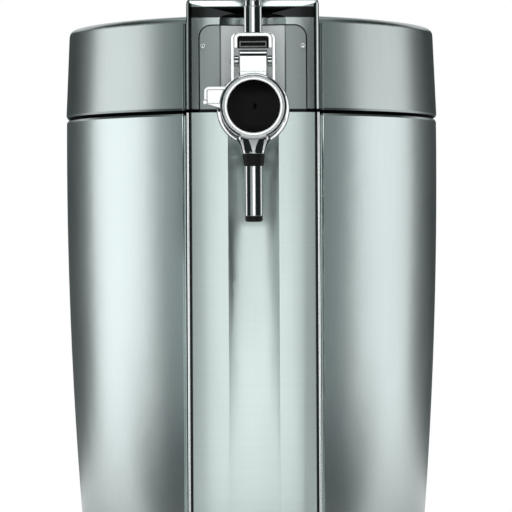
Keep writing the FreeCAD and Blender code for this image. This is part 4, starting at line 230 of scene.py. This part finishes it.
class Finish:
    """A material in the making: its shader and the nodes that feed it."""

    def __init__(self, name, base, metallic=0.0, roughness=0.5):
        self.material = bpy.data.materials.new(name)
        self.material.use_nodes = True
        self.nodes = self.material.node_tree.nodes
        self.links = self.material.node_tree.links
        self.shader = self.nodes["Principled BSDF"]
        self.base = tuple(base)
        self.relief = None
        self.set("Base Color", self.base + (1.0,))
        self.set("Metallic", metallic)
        self.set("Roughness", roughness)
        self.material.diffuse_color = self.base + (1.0,)
        self.material.metallic = metallic
        self.material.roughness = roughness

    def set(self, socket, value):
        """Give one of the shader's own sockets a plain value."""
        self.shader.inputs[socket].default_value = value

    def add(self, kind, **values):
        """Add a node and set its named inputs or attributes."""
        node = self.nodes.new(kind)
        for key, value in values.items():
            if hasattr(node, key):
                setattr(node, key, value)
            else:
                node.inputs[key.replace("_", " ")].default_value = value
        return node

    def place(self):
        """The place of a point in its piece."""
        return self.add("ShaderNodeTexCoord").outputs["Object"]

    def stretched(self, cycles):
        """The place of a point, counted in so many cycles a metre along each axis."""
        place = self.place()
        mapping = self.add("ShaderNodeMapping", Scale=cycles)
        self.links.new(place, mapping.inputs["Vector"])
        return mapping.outputs["Vector"]

    def spots(self, cycles, detail=2.0):
        """Noise at so many cycles a metre along each axis of the piece."""
        place = self.stretched(cycles)
        noise = self.add("ShaderNodeTexNoise", Scale=1.0, Detail=detail)
        self.links.new(place, noise.inputs["Vector"])
        return noise.outputs[0]

    def cells(self, cycles):
        """Round cells, so many a metre along each axis."""
        place = self.stretched(cycles)
        cells = self.add("ShaderNodeTexVoronoi", Scale=1.0)
        self.links.new(place, cells.inputs["Vector"])
        return cells.outputs[0]

    def between(self, factor, low, high, near=0.3, far=0.7):
        """Turn a factor into a number between low and high."""
        scale = self.add("ShaderNodeMapRange")
        for socket, value in zip(("From Min", "From Max", "To Min", "To Max"), (near, far, low, high)):
            scale.inputs[socket].default_value = value
        self.links.new(factor, scale.inputs["Value"])
        return scale.outputs["Result"]

    def tint(self, factor, other):
        """Mix another colour into the base colour by a factor."""
        mix = self.add("ShaderNodeMix", data_type="RGBA")
        socket = self.shader.inputs["Base Color"]
        if socket.is_linked:
            self.links.new(socket.links[0].from_socket, mix.inputs["A"])
        else:
            mix.inputs["A"].default_value = self.base + (1.0,)
        mix.inputs["B"].default_value = tuple(other) + (1.0,)
        self.links.new(factor, mix.inputs["Factor"])
        self.links.new(mix.outputs["Result"], socket)

    def on_axis(self, axis):
        """The place of a point along one axis of its piece."""
        split = self.add("ShaderNodeSeparateXYZ")
        self.links.new(self.place(), split.inputs["Vector"])
        return split.outputs[axis]

    def along(self, axis, edge, bounds):
        """0 at the first bound along an axis, 1 at the second; both are counted from an edge."""
        near, far = bounds
        return self.between(self.on_axis(axis), 0.0, 1.0, edge + near, edge + far)

    def aside(self, edge, bounds):
        """The same on both sides of the upright middle plane."""
        near, far = bounds
        place = self.on_axis("X")
        size = self.add("ShaderNodeMath", operation="ABSOLUTE")
        self.links.new(place, size.inputs[0])
        return self.between(size.outputs["Value"], 0.0, 1.0, edge + near, edge + far)

    def both(self, first, second):
        """The product of two factors."""
        product = self.add("ShaderNodeMath", operation="MULTIPLY")
        self.links.new(first, product.inputs[0])
        self.links.new(second, product.inputs[1])
        return product.outputs["Value"]

    def polished(self, factor, roughness):
        """Let another roughness take over by a factor; the finish already has a roughness that wanders."""
        mix = self.add("ShaderNodeMix", data_type="FLOAT")
        socket = self.shader.inputs["Roughness"]
        self.links.new(socket.links[0].from_socket, mix.inputs["A"])
        mix.inputs["B"].default_value = roughness
        self.links.new(factor, mix.inputs["Factor"])
        self.links.new(mix.outputs["Result"], socket)

    def dull(self, factor, low, high):
        """Let the roughness wander between two values."""
        self.links.new(self.between(factor, low, high), self.shader.inputs["Roughness"])

    def raised(self, factor, strength, distance):
        """Add relief on top of any relief already there."""
        bump = self.add("ShaderNodeBump", Strength=strength, Distance=distance)
        self.links.new(factor, bump.inputs["Height"])
        if self.relief:
            self.links.new(self.relief, bump.inputs["Normal"])
        self.relief = bump.outputs["Normal"]
        self.links.new(self.relief, self.shader.inputs["Normal"])

    def soft_edges(self, radius):
        """Shade sharp edges as if they were slightly rounded."""
        self.relief = self.add("ShaderNodeBevel", samples=6, Radius=radius).outputs["Normal"]
        self.links.new(self.relief, self.shader.inputs["Normal"])

    def worn_edges(self, width, other, share):
        """Lighten a narrow band along sharp edges."""
        rounded = self.add("ShaderNodeBevel", samples=4, Radius=width)
        surface = self.add("ShaderNodeNewGeometry")
        turn = self.add("ShaderNodeVectorMath", operation="DOT_PRODUCT")
        self.links.new(rounded.outputs["Normal"], turn.inputs[0])
        self.links.new(surface.outputs["Normal"], turn.inputs[1])
        sharp, flat = 0.86, 0.99  # cosines of the turn at a sharp edge and on a flat face
        self.tint(self.between(turn.outputs["Value"], share, 0.0, sharp, flat), other)


def shade(tone, factor):
    """The same colour, lighter or darker."""
    return tuple(min(1.0, part * factor) for part in tone)


def even(cycles):
    """The same number of cycles along every axis."""
    return (cycles, cycles, cycles)


def satin_steel(name, tone, roughness, grain, anisotropy, upright=True):
    """Steel brushed upright or across, with faint wiping marks; it comes back as a Finish to add to."""
    steel = Finish(name, tone, metallic=1.0, roughness=roughness)
    steel.set("Anisotropic", anisotropy)
    steel.set("Anisotropic Rotation", 0.0 if upright else 0.25)
    tangent = steel.add("ShaderNodeTangent", direction_type="RADIAL", axis="Z")
    steel.links.new(tangent.outputs["Tangent"], steel.shader.inputs["Tangent"])
    fine, drawn = 1100.0, 9.0  # cycles a metre across and along the brushing
    brushing = steel.spots((fine, fine, drawn) if upright else (drawn, drawn, fine), detail=3.0)
    steel.tint(steel.between(brushing, 0.0, 1.0), shade(tone, 1.0 - grain * 1.6))
    wiping = steel.spots((14.0, 14.0, 5.0), detail=4.0)
    steel.tint(steel.between(wiping, 0.0, 0.5), shade(tone, 0.95))
    steel.dull(wiping, roughness - 0.025, roughness + 0.025)
    steel.raised(brushing, grain, 0.00005)
    return steel


def column_steel(look):
    """Steel of the column: painted shade in the grooves and polished beads with a painted highlight along
    its front.
    """
    column = satin_steel("column_steel_finish", look.column, look.column_roughness,
                         look.grain * COLUMN_GRAIN, look.column_stretch, upright=False)
    low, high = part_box("front_column")
    front = column.along("Y", low.y, COLUMN_FRONT)
    # Painted shade in the groove beside each bead.
    column.tint(column.both(column.aside(high.x, COLUMN_GROOVE_SHADE), front), look.painted_shade_and_reflection)
    # Painted highlight on the polished bead.
    bead = column.both(column.aside(high.x, COLUMN_BEAD), front)
    column.tint(bead, look.painted_highlight)
    column.polished(bead, BEAD_POLISH)
    return column.material


def console_steel(look):
    """Steel of the tap console: a niche behind the tap painted pale as a reflection, and painted shadow
    along its foot.
    """
    console = satin_steel("console_steel_finish", look.spine, look.console_roughness,
                          look.grain * COLUMN_GRAIN, look.column_stretch, upright=False)
    low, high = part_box("tap_console")
    # The niche is painted pale and made nearly non-metallic: a painted reflection.
    niche = console.aside(high.x, NICHE_SIDE)
    console.tint(niche, look.niche)
    metal = console.between(niche, 1.0, NICHE_METAL, 0.0, 1.0)
    console.links.new(metal, console.shader.inputs["Metallic"])
    # Painted shadow in the gap under the console.
    console.tint(console.along("Z", low.z, CONSOLE_FOOT), look.painted_shade_and_reflection)
    return console.material


def spine_steel(look):
    """Steel of the lid's spine: painted shade on its sides, a dark band across its front painted as a
    reflection, a painted shade line down its left edge and painted shade and highlight down its right edge.
    """
    spine = satin_steel("spine_steel_finish", look.spine, look.spine_roughness,
                        look.grain * COLUMN_GRAIN, look.anisotropy)
    low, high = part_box("lid_spine")
    front = spine.along("Y", low.y, SPINE_FRONT)
    # Painted shade on the sides of the spine's front.
    spine.tint(spine.both(spine.aside(high.x, SPINE_FLANK_SHADE), front), shade(look.spine, 0.7))
    # Painted reflection: a dark band across the spine's front.
    face = spine.both(front, spine.aside(high.x, BAND_SIDE))
    spine.tint(spine.both(spine.along("Z", high.z, BAND_FOOT), face), look.painted_shade_and_reflection)
    spine.tint(spine.both(spine.along("Z", high.z, BAND_HEAD), face), look.spine)
    # Painted lines: shade down the left edge, shade and a highlight down the right edge.
    edge = spine.along("Y", low.y, LINE_FRONT)
    spine.tint(spine.both(spine.along("X", low.x, LEFT_SHADE_LINE), edge), look.painted_shade_and_reflection)
    spine.tint(spine.both(spine.along("X", high.x, RIGHT_SHADE), edge), shade(look.spine, 0.5))
    spine.tint(spine.both(spine.along("X", high.x, RIGHT_HIGHLIGHT), edge), look.painted_highlight)
    return spine.material


def chrome(name, tone, roughness):
    """Bright plating with a little haze and hairline scratches."""
    plating = Finish(name, tone, metallic=1.0, roughness=roughness)
    plating.soft_edges(0.0009)
    haze = plating.spots((120.0, 120.0, 90.0), detail=4.0)
    plating.tint(plating.between(haze, 0.0, 0.5), shade(tone, 0.92))
    plating.dull(haze, roughness * 0.7, roughness * 1.6)
    plating.raised(plating.spots((2600.0, 2600.0, 300.0)), 0.02, 0.00003)
    return plating.material


def enamel(name, tone):
    """Deep gloss black with dust and slight orange peel."""
    gloss = Finish(name, tone, roughness=0.16)
    gloss.set("Specular IOR Level", 0.05)
    gloss.soft_edges(0.0005)
    dust = gloss.spots(even(900.0), detail=5.0)
    gloss.tint(gloss.between(dust, 0.0, 0.15, 0.6, 0.85), (0.012, 0.012, 0.013))
    gloss.dull(gloss.spots(even(60.0), detail=3.0), 0.10, 0.24)
    gloss.raised(gloss.spots(even(420.0), detail=1.0), 0.03, 0.0001)
    return gloss.material


def moulded(name, tone, texture, wear):
    """Textured plastic, lighter where its edges are rubbed."""
    plastic = Finish(name, tone, roughness=0.46)
    plastic.set("IOR", 1.5)
    skin = plastic.spots(even(1.0 / texture))
    plastic.tint(plastic.between(plastic.spots(even(26.0), detail=4.0), 0.0, 0.6), shade(tone, 1.35))
    plastic.worn_edges(0.0008, shade(tone, 3.2), wear)
    plastic.dull(skin, 0.38, 0.56)
    plastic.raised(skin, 0.22, 0.00012)
    return plastic.material


def rubber(name, tone):
    """Soft matt rubber with a dusty bloom."""
    soft = Finish(name, tone, roughness=0.62)
    soft.set("Specular IOR Level", 0.25)
    bloom = soft.spots(even(180.0), detail=4.0)
    soft.tint(soft.between(bloom, 0.0, 0.5), (0.014, 0.0135, 0.013))
    soft.dull(bloom, 0.52, 0.74)
    soft.raised(soft.spots(even(1500.0), detail=1.0), 0.12, 0.0001)
    return soft.material


def plated_steel(name, tone=(0.55, 0.56, 0.57), roughness=0.3):
    """Zinc plated wire and sheet."""
    zinc = Finish(name, tone, metallic=1.0, roughness=roughness)
    blotches = zinc.spots(even(90.0), detail=5.0)
    zinc.tint(zinc.between(blotches, 0.0, 0.8), shade(tone, 0.72))
    zinc.dull(blotches, roughness - 0.08, roughness + 0.14)
    zinc.raised(zinc.spots(even(700.0), detail=3.0), 0.08, 0.00008)
    return zinc.material


def spun_aluminium(name, tone, rings):
    """Aluminium turned on a lathe, or drawn into fins when it has no rings."""
    metal = Finish(name, tone, metallic=1.0, roughness=0.3)
    turning = metal.spots((3.0, 3.0, 1700.0) if rings else (60.0, 1300.0, 60.0), detail=3.0)
    metal.tint(metal.between(turning, 0.0, 1.0), shade(tone, 0.86))
    metal.dull(metal.spots(even(40.0), detail=4.0), 0.22, 0.42)
    metal.raised(turning, 0.10, 0.00006)
    return metal.material


def bead_foam(name, tone, bead):
    """Moulded foam whose beads show as shallow cells."""
    foam = Finish(name, tone, roughness=0.85)
    foam.set("Sheen Weight", 0.2)
    cells = foam.cells(even(1.0 / bead))
    foam.tint(foam.between(cells, 0.0, 0.45, 0.2, 0.9), shade(tone, 0.8))
    foam.tint(foam.between(foam.spots(even(12.0), detail=5.0), 0.0, 0.35), (0.66, 0.60, 0.48))
    foam.raised(cells, 0.5, 0.0006)
    return foam.material


def fired_ceramic(name, tone):
    """Matt white ceramic, speckled."""
    ceramic = Finish(name, tone, roughness=0.55)
    specks = ceramic.spots(even(1300.0), detail=3.0)
    ceramic.tint(ceramic.between(specks, 0.0, 0.4, 0.55, 0.8), (0.5, 0.48, 0.44))
    ceramic.raised(specks, 0.1, 0.00008)
    return ceramic.material


def circuit_board(name, tone):
    """Solder mask over copper tracks."""
    board = Finish(name, tone, roughness=0.34)
    board.set("Coat Weight", 0.4)
    place = board.stretched(even(260.0))
    black, white = (0.0, 0.0, 0.0, 1.0), (1.0, 1.0, 1.0, 1.0)
    tracks = board.add("ShaderNodeTexBrick", Scale=1.0, Mortar_Size=0.08,
                       Color1=black, Color2=black, Mortar=white)
    board.links.new(place, tracks.inputs["Vector"])
    board.tint(tracks.outputs["Color"], (0.06, 0.32, 0.10))
    board.raised(tracks.outputs["Color"], 0.3, 0.0001)
    board.dull(board.spots(even(80.0), detail=3.0), 0.26, 0.44)
    return board.material


def lens(name, tone):
    """Clear coloured lens, ribbed inside."""
    glass = Finish(name, tone, roughness=0.12)
    glass.set("Transmission Weight", 0.35)
    glass.set("Coat Weight", 0.6)
    glass.set("Emission Color", tuple(tone) + (1.0,))
    glass.set("Emission Strength", 0.35)
    ribs = glass.spots((2000.0, 4.0, 4.0), detail=0.0)
    glass.tint(glass.between(ribs, 0.0, 0.6), shade(tone, 0.6))
    glass.raised(ribs, 0.1, 0.0001)
    return glass.material


def dress(nodes, material):
    """Give CAD nodes their finish."""
    for name in nodes:
        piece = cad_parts[name]
        piece.data.materials.clear()
        piece.data.materials.append(material)


# --------------------------------------------------------------------- pieces

def new_piece(name, shell, material, body):
    """Turn a bmesh into a piece that rides on a body and takes a slot's finish."""
    data = bpy.data.meshes.new(name)
    shell.to_mesh(data)
    shell.free()
    for face in data.polygons:
        face.use_smooth = True
    data.materials.append(material)
    piece = bpy.data.objects.new(name, data)
    bpy.context.scene.collection.objects.link(piece)
    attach(piece, body)


def turned(profile, centre, axis, steps=32):
    """A solid of revolution: profile holds (radius, height along the axis)."""
    shell = bmesh.new()
    across = Vector(axis).normalized()
    side = across.orthogonal().normalized()
    up = across.cross(side)
    rings = []
    for radius, height in profile:
        if not radius:
            rings.append([shell.verts.new(Vector(centre) + across * height)])
            continue
        ring = []
        for step in range(steps):
            angle = math.tau * step / steps
            outward = side * math.cos(angle) + up * math.sin(angle)
            ring.append(shell.verts.new(Vector(centre) + across * height + outward * radius))
        rings.append(ring)
    for low, high in zip(rings, rings[1:]):
        for step in range(steps):
            after = (step + 1) % steps
            corners = (low[step % len(low)], low[after % len(low)],
                       high[after % len(high)], high[step % len(high)])
            unique = list(dict.fromkeys(corners))
            if len(unique) > 2:
                shell.faces.new(unique)
    bmesh.ops.recalc_face_normals(shell, faces=shell.faces)
    return shell


# --------------------------------------------------------------------- studio

def lamp(name, spot, aim, wide, tall, watts):
    """An area lamp that faces a point."""
    data = bpy.data.lights.new(name, "AREA")
    data.shape = "RECTANGLE"
    data.size = wide
    data.size_y = tall
    data.energy = watts
    item = bpy.data.objects.new(name, data)
    item.location = spot
    item.rotation_euler = (Vector(aim) - Vector(spot)).to_track_quat("-Z", "Y").to_euler()
    bpy.context.scene.collection.objects.link(item)


def card(name, rows, tone):
    """A studio card through rows of two points, which only reflections see."""
    shell = bmesh.new()
    edges = [[shell.verts.new(spot) for spot in row] for row in rows]
    for (a, b), (c, d) in zip(edges, edges[1:]):
        shell.faces.new((a, c, d, b))
    data = bpy.data.meshes.new(name)
    shell.to_mesh(data)
    shell.free()
    material = bpy.data.materials.new(name)
    material.use_nodes = True
    nodes = material.node_tree.nodes
    glow = nodes.new("ShaderNodeEmission")
    glow.inputs["Color"].default_value = tone + (1.0,)
    material.node_tree.links.new(glow.outputs["Emission"], nodes["Material Output"].inputs["Surface"])
    data.materials.append(material)
    item = bpy.data.objects.new(name, data)
    bpy.context.scene.collection.objects.link(item)
    item.visible_camera = False
    item.visible_shadow = False
    item.visible_diffuse = False


def curved_card(name, radius, angles, heights, tone):
    """A studio card bent round the dispenser."""
    start, end = angles
    rows = []
    for step in range(CARD_STEPS + 1):
        turn = math.radians(start + (end - start) * step / CARD_STEPS)
        x, y = radius * math.sin(turn), -radius * math.cos(turn)
        rows.append([(x, y, z) for z in heights])
    card(name, rows, tone)


def level_card(name, across, depth, height, tone):
    """A studio card that lies level."""
    card(name, [[(x, y, height) for y in depth] for x in across], tone)


def upright_card(name, side, depth, heights, tone):
    """A studio card that stands edge on to the front."""
    card(name, [[(side, y, z) for z in heights] for y in depth], tone)


def seen_rays(nodes, links, factor=None):
    """1 for rays from the camera, a reflection or a clear piece; 0 for the light itself."""
    path = nodes.new("ShaderNodeLightPath")

    def joined(operation, first, second):
        """Put two values through one step of arithmetic."""
        node = nodes.new("ShaderNodeMath")
        node.operation = operation
        links.new(first, node.inputs[0])
        links.new(second, node.inputs[1])
        return node.outputs["Value"]

    seen = joined("MAXIMUM", path.outputs["Is Camera Ray"], path.outputs["Is Glossy Ray"])
    seen = joined("MAXIMUM", seen, path.outputs["Is Transmission Ray"])
    return seen if factor is None else joined("MULTIPLY", seen, factor)


def floor_finish(tone):
    """A pale floor that keeps the dispenser's shadow near it and is plain white further out."""
    material = bpy.data.materials.new("studio_floor")
    material.use_nodes = True
    nodes, links = material.node_tree.nodes, material.node_tree.links
    shader = nodes["Principled BSDF"]
    shader.inputs["Base Color"].default_value = tuple(tone) + (1.0,)
    shader.inputs["Roughness"].default_value = 0.6
    shader.inputs["Specular IOR Level"].default_value = 0.1
    place = nodes.new("ShaderNodeTexCoord")
    distance = nodes.new("ShaderNodeVectorMath")
    distance.operation = "LENGTH"
    links.new(place.outputs["Object"], distance.inputs[0])
    reach = nodes.new("ShaderNodeMapRange")
    reach.interpolation_type = "SMOOTHSTEP"
    reach.inputs["From Min"].default_value, reach.inputs["From Max"].default_value = FLOOR_FADE
    links.new(distance.outputs["Value"], reach.inputs["Value"])
    far = seen_rays(nodes, links, reach.outputs["Result"])
    white = nodes.new("ShaderNodeEmission")
    blend = nodes.new("ShaderNodeMixShader")
    links.new(far, blend.inputs["Fac"])
    links.new(shader.outputs["BSDF"], blend.inputs[1])
    links.new(white.outputs["Emission"], blend.inputs[2])
    links.new(blend.outputs["Shader"], nodes["Material Output"].inputs["Surface"])
    return material


def world_finish():
    """A soft light for the dispenser and a white background."""
    world = bpy.data.worlds.new("studio_world")
    world.use_nodes = True
    nodes, links = world.node_tree.nodes, world.node_tree.links
    soft = nodes["Background"]
    white = nodes.new("ShaderNodeBackground")
    for background, strength in ((soft, WORLD_LIGHT), (white, 1.0)):
        background.inputs["Color"].default_value = (1.0, 1.0, 1.0, 1.0)
        background.inputs["Strength"].default_value = strength
    blend = nodes.new("ShaderNodeMixShader")
    links.new(seen_rays(nodes, links), blend.inputs["Fac"])
    links.new(soft.outputs["Background"], blend.inputs[1])
    links.new(white.outputs["Background"], blend.inputs[2])
    links.new(blend.outputs["Shader"], nodes["World Output"].inputs["Surface"])
    return world


# ------------------------------------------------------------------ operators

class KEG_OT_side_shells(Operator):
    """Finish the two side shells in satin steel, with painted highlights on their polished rolled edges"""
    bl_idname = "keg.side_shells"
    bl_label = "Side shells"

    def execute(self, context):
        look = context.scene.keg_steel
        steel = satin_steel("shell_steel_finish", look.shell, look.shell_roughness,
                            look.grain, look.anisotropy)
        # Painted highlight on the rolled front edges, which are also polished.
        edge = steel.aside(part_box("side_shell_right")[0].x, SHELL_ROLL)
        steel.tint(edge, look.painted_highlight)
        steel.polished(edge, SHELL_POLISH)
        dress(("side_shell_left", "side_shell_right"), steel.material)
        return {"FINISHED"}


class KEG_OT_front_column(Operator):
    """Finish the column, the tap console and the lid's spine"""
    bl_idname = "keg.front_column"
    bl_label = "Column, console and spine"

    def execute(self, context):
        look = context.scene.keg_steel
        dress(("front_column",), column_steel(look))
        dress(("tap_console",), console_steel(look))
        dress(("lid_spine",), spine_steel(look))
        return {"FINISHED"}


class KEG_OT_lid(Operator):
    """Finish the lid's steel shells and top"""
    bl_idname = "keg.lid"
    bl_label = "Lid"

    def execute(self, context):
        look = context.scene.keg_steel
        # Darker copy of the barrel's steel: painted shade.
        steel = satin_steel("lid_steel_painted_shade", look.lid, look.shell_roughness,
                            look.grain, look.anisotropy)
        dress(("lid_shell_left", "lid_shell_right", "lid_top"), steel.material)
        return {"FINISHED"}


class KEG_OT_lid_inside(Operator):
    """Finish the lid's rim and inner dome, the top deck and the gasket"""
    bl_idname = "keg.lid_inside"
    bl_label = "Deck, rim and gasket"

    def execute(self, context):
        look = context.scene.keg_plastic
        plastic = moulded("deck_plastic", look.deck, look.texture, look.edge_wear * 0.6)
        dress(("top_deck", "lid_rim", "lid_dome"), plastic)
        dress(("lid_gasket",), rubber("gasket_rubber", context.scene.keg_tap.rubber))
        return {"FINISHED"}


class KEG_OT_tap(Operator):
    """Finish the tap body, its flange and the spout"""
    bl_idname = "keg.tap"
    bl_label = "Tap and spout"

    def execute(self, context):
        look = context.scene.keg_tap
        plating = chrome("tap_chrome", look.chrome, look.chrome_roughness)
        dress(("tap_body", "tap_flange", "spout_cone", "spout_tube", "badge_pin"), plating)
        dress(("spout_seal", "spout_tip"), rubber("spout_rubber", look.rubber))
        dress(("valve_plunger", "valve_spring"), plated_steel("valve_steel"))
        return {"FINISHED"}


class KEG_OT_lever(Operator):
    """Finish the lever, its pivot and the handle"""
    bl_idname = "keg.lever"
    bl_label = "Lever and handle"

    def execute(self, context):
        look = context.scene.keg_tap
        plating = chrome("lever_chrome", look.chrome, look.chrome_roughness)
        dress(("lever_yoke", "pivot_pin", "lever_stem", "handle_ferrule", "handle_cap"), plating)
        dress(("slot_frame",), chrome("frame_chrome", look.dark_chrome, look.chrome_roughness * 2.0))
        dress(("yoke_insert", "handle_grip"), enamel("handle_enamel", look.enamel))
        return {"FINISHED"}


class KEG_OT_badge(Operator):
    """Finish the round badge and its ring"""
    bl_idname = "keg.badge"
    bl_label = "Round badge"

    def execute(self, context):
        look = context.scene.keg_tap
        dress(("badge_ring",), chrome("badge_chrome", look.chrome, look.chrome_roughness))
        dress(("badge_disc",), enamel("badge_enamel", look.enamel))
        return {"FINISHED"}


class KEG_OT_studs(Operator):
    """Set a small stud on each leg of the console's arch, in chrome painted lighter as a highlight"""
    bl_idname = "keg.studs"
    bl_label = "Arch studs"

    def execute(self, context):
        look = context.scene.keg_tap
        # Chrome painted lighter than the tap's, as a highlight on the studs.
        plating = chrome("stud_chrome_painted_highlight", shade(look.chrome, 1.7), look.chrome_roughness * 4.0)
        low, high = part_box("tap_console")
        radius, proud = look.stud_radius, look.stud_proud
        profile = (
            (0.0, 0.0), (radius * 0.55, 0.0), (radius * 0.6, -proud * 0.3), (radius * 0.85, -proud * 0.35),
            (radius, -proud * 0.7), (radius, STUD_ROOT), (0.0, STUD_ROOT))
        backward = (0.0, 1.0, 0.0)
        for side, name in ((low.x + STUD_ASIDE, "arch_stud_left"), (high.x - STUD_ASIDE, "arch_stud_right")):
            spot = (side, low.y + STUD_SUNK, high.z - STUD_DROP)
            new_piece(name, turned(profile, spot, backward), plating, "housing")
        return {"FINISHED"}


class KEG_OT_release_button(Operator):
    """Finish the lid's release button and its spring"""
    bl_idname = "keg.release_button"
    bl_label = "Release button"

    def execute(self, context):
        look = context.scene.keg_tap
        dress(("release_button",), chrome("button_chrome", look.chrome, look.chrome_roughness * 2.0))
        dress(("button_spring", "catch_plate"), plated_steel("catch_steel"))
        return {"FINISHED"}


class KEG_OT_base(Operator):
    """Finish the base, its feet and the chamber's stand"""
    bl_idname = "keg.base"
    bl_label = "Base and feet"

    def execute(self, context):
        look = context.scene.keg_plastic
        plastic = moulded("base_plastic", look.black, look.texture, look.edge_wear)
        dress(("base_plinth", "chamber_stand"), plastic)
        dress(("rubber_feet",), rubber("foot_rubber_finish", context.scene.keg_tap.rubber))
        return {"FINISHED"}


class KEG_OT_drip_tray(Operator):
    """Finish the drip tray and its grille"""
    bl_idname = "keg.drip_tray"
    bl_label = "Drip tray"

    def execute(self, context):
        look = context.scene.keg_plastic
        dress(("drip_tray",), moulded("tray_plastic", look.black, look.texture, look.edge_wear))
        dress(("drip_grille",), plated_steel("grille_steel", (0.6, 0.62, 0.62), 0.24))
        return {"FINISHED"}


class KEG_OT_rear(Operator):
    """Finish the rear cover, the power inlet and the mains switch"""
    bl_idname = "keg.rear"
    bl_label = "Rear cover and power"

    def execute(self, context):
        look = context.scene.keg_plastic
        dress(("rear_cover",), moulded("cover_plastic", look.black, look.texture, look.edge_wear))
        dress(("power_inlet", "switch_bezel", "power_switch"),
              moulded("switch_plastic", shade(look.black, 0.7), look.texture * 0.7, look.edge_wear))
        dress(("rear_cover_screws",), plated_steel("screw_steel"))
        return {"FINISHED"}


class KEG_OT_hinge(Operator):
    """Finish the lid's hinge"""
    bl_idname = "keg.hinge"
    bl_label = "Lid hinge"

    def execute(self, context):
        dress(("hinge_bracket", "lid_hinge_arm", "hinge_pin"), plated_steel("hinge_steel"))
        return {"FINISHED"}


class KEG_OT_chamber(Operator):
    """Finish the keg chamber and its insulation"""
    bl_idname = "keg.chamber"
    bl_label = "Keg chamber"

    def execute(self, context):
        look = context.scene.keg_inside
        dress(("keg_liner",), spun_aluminium("liner_spun", look.liner, rings=True))
        dress(("insulation_jacket",), bead_foam("jacket_foam", look.foam, look.foam_bead))
        return {"FINISHED"}


class KEG_OT_cooling(Operator):
    """Finish the cooling train, the fan and the electrics"""
    bl_idname = "keg.cooling"
    bl_label = "Cooling and electrics"

    def execute(self, context):
        look = context.scene.keg_inside
        plastics = context.scene.keg_plastic
        dress(("cold_block", "heat_sink"), spun_aluminium("sink_drawn", look.liner, rings=False))
        dress(("peltier_module",), fired_ceramic("module_ceramic", look.ceramic))
        dress(("fan_frame", "fan_rotor"), moulded("fan_plastic", plastics.black, plastics.texture, 0.1))
        dress(("control_board",), circuit_board("board_mask", look.board))
        dress(("power_supply",), plated_steel("supply_zinc", look.supply, 0.36))
        dress(("ready_light",), lens("ready_lens", look.light))
        return {"FINISHED"}


class KEG_OT_studio(Operator):
    """Lay the floor, hang the lamps and cards, and set the camera"""
    bl_idname = "keg.studio"
    bl_label = "Studio"

    def execute(self, context):
        look = context.scene.keg_studio
        scene = context.scene
        bpy.ops.mesh.primitive_plane_add(size=look.floor_size)
        floor = context.active_object
        floor.name = "studio_floor"
        floor.data.materials.append(floor_finish(look.floor))

        scene.world = world_finish()
        for name, spot, aim, wide, tall, setting, share in LAMPS:
            lamp(name, spot, aim, wide, tall, getattr(look, setting) * share)
        for values in CURVED_CARDS:
            curved_card(*values)
        for values in LEVEL_CARDS:
            level_card(*values)
        for values in UPRIGHT_CARDS:
            upright_card(*values)

        data = bpy.data.cameras.new("studio_camera")
        data.lens = look.lens
        data.sensor_width = FILM_WIDTH
        data.clip_end = CAMERA_REACH
        camera = bpy.data.objects.new("studio_camera", data)
        camera.location = CAMERA_SPOT
        sight = (Vector(CAMERA_AIM) - camera.location).to_track_quat("-Z", "Y")
        camera.rotation_euler = (sight @ Quaternion((0.0, 0.0, 1.0), look.roll)).to_euler()
        scene.collection.objects.link(camera)
        scene.camera = camera
        scene.view_settings.view_transform = "Standard"
        return {"FINISHED"}


class KEG_PT_sidebar(Panel):
    """Pieces of the dispenser in the order they are made"""
    bl_idname = "KEG_PT_sidebar"
    bl_label = "Keg dispenser"
    bl_space_type = "VIEW_3D"
    bl_region_type = "UI"
    bl_category = "Keg Dispenser"

    def draw(self, context):
        layout = self.layout
        for group, kind in SETTINGS.items():
            box = layout.box()
            for name in kind.__annotations__:
                box.prop(getattr(context.scene, group), name)
        for operator in PIECES:
            layout.operator(operator.bl_idname)


SETTINGS = {
    "keg_steel": SteelSettings,
    "keg_tap": TapSettings,
    "keg_plastic": PlasticSettings,
    "keg_inside": InsideSettings,
    "keg_studio": StudioSettings,
}
PIECES = (
    KEG_OT_side_shells,
    KEG_OT_front_column,
    KEG_OT_lid,
    KEG_OT_lid_inside,
    KEG_OT_tap,
    KEG_OT_lever,
    KEG_OT_badge,
    KEG_OT_studs,
    KEG_OT_release_button,
    KEG_OT_base,
    KEG_OT_drip_tray,
    KEG_OT_rear,
    KEG_OT_hinge,
    KEG_OT_chamber,
    KEG_OT_cooling,
    KEG_OT_studio,
)


def register():
    """Register the settings, the operators and the sidebar."""
    for group in SETTINGS.values():
        bpy.utils.register_class(group)
    for name, group in SETTINGS.items():
        setattr(bpy.types.Scene, name, PointerProperty(type=group))
    for operator in PIECES:
        bpy.utils.register_class(operator)
    bpy.utils.register_class(KEG_PT_sidebar)


def unregister():
    """Take everything away that register put in."""
    bpy.utils.unregister_class(KEG_PT_sidebar)
    for operator in reversed(PIECES):
        bpy.utils.unregister_class(operator)
    for name, group in SETTINGS.items():
        delattr(bpy.types.Scene, name)
        bpy.utils.unregister_class(group)


def main():
    """Make the whole dispenser."""
    register()
    for operator in PIECES:
        group, call = operator.bl_idname.split(".")
        getattr(getattr(bpy.ops, group), call)()


if __name__ == "__main__":
    main()
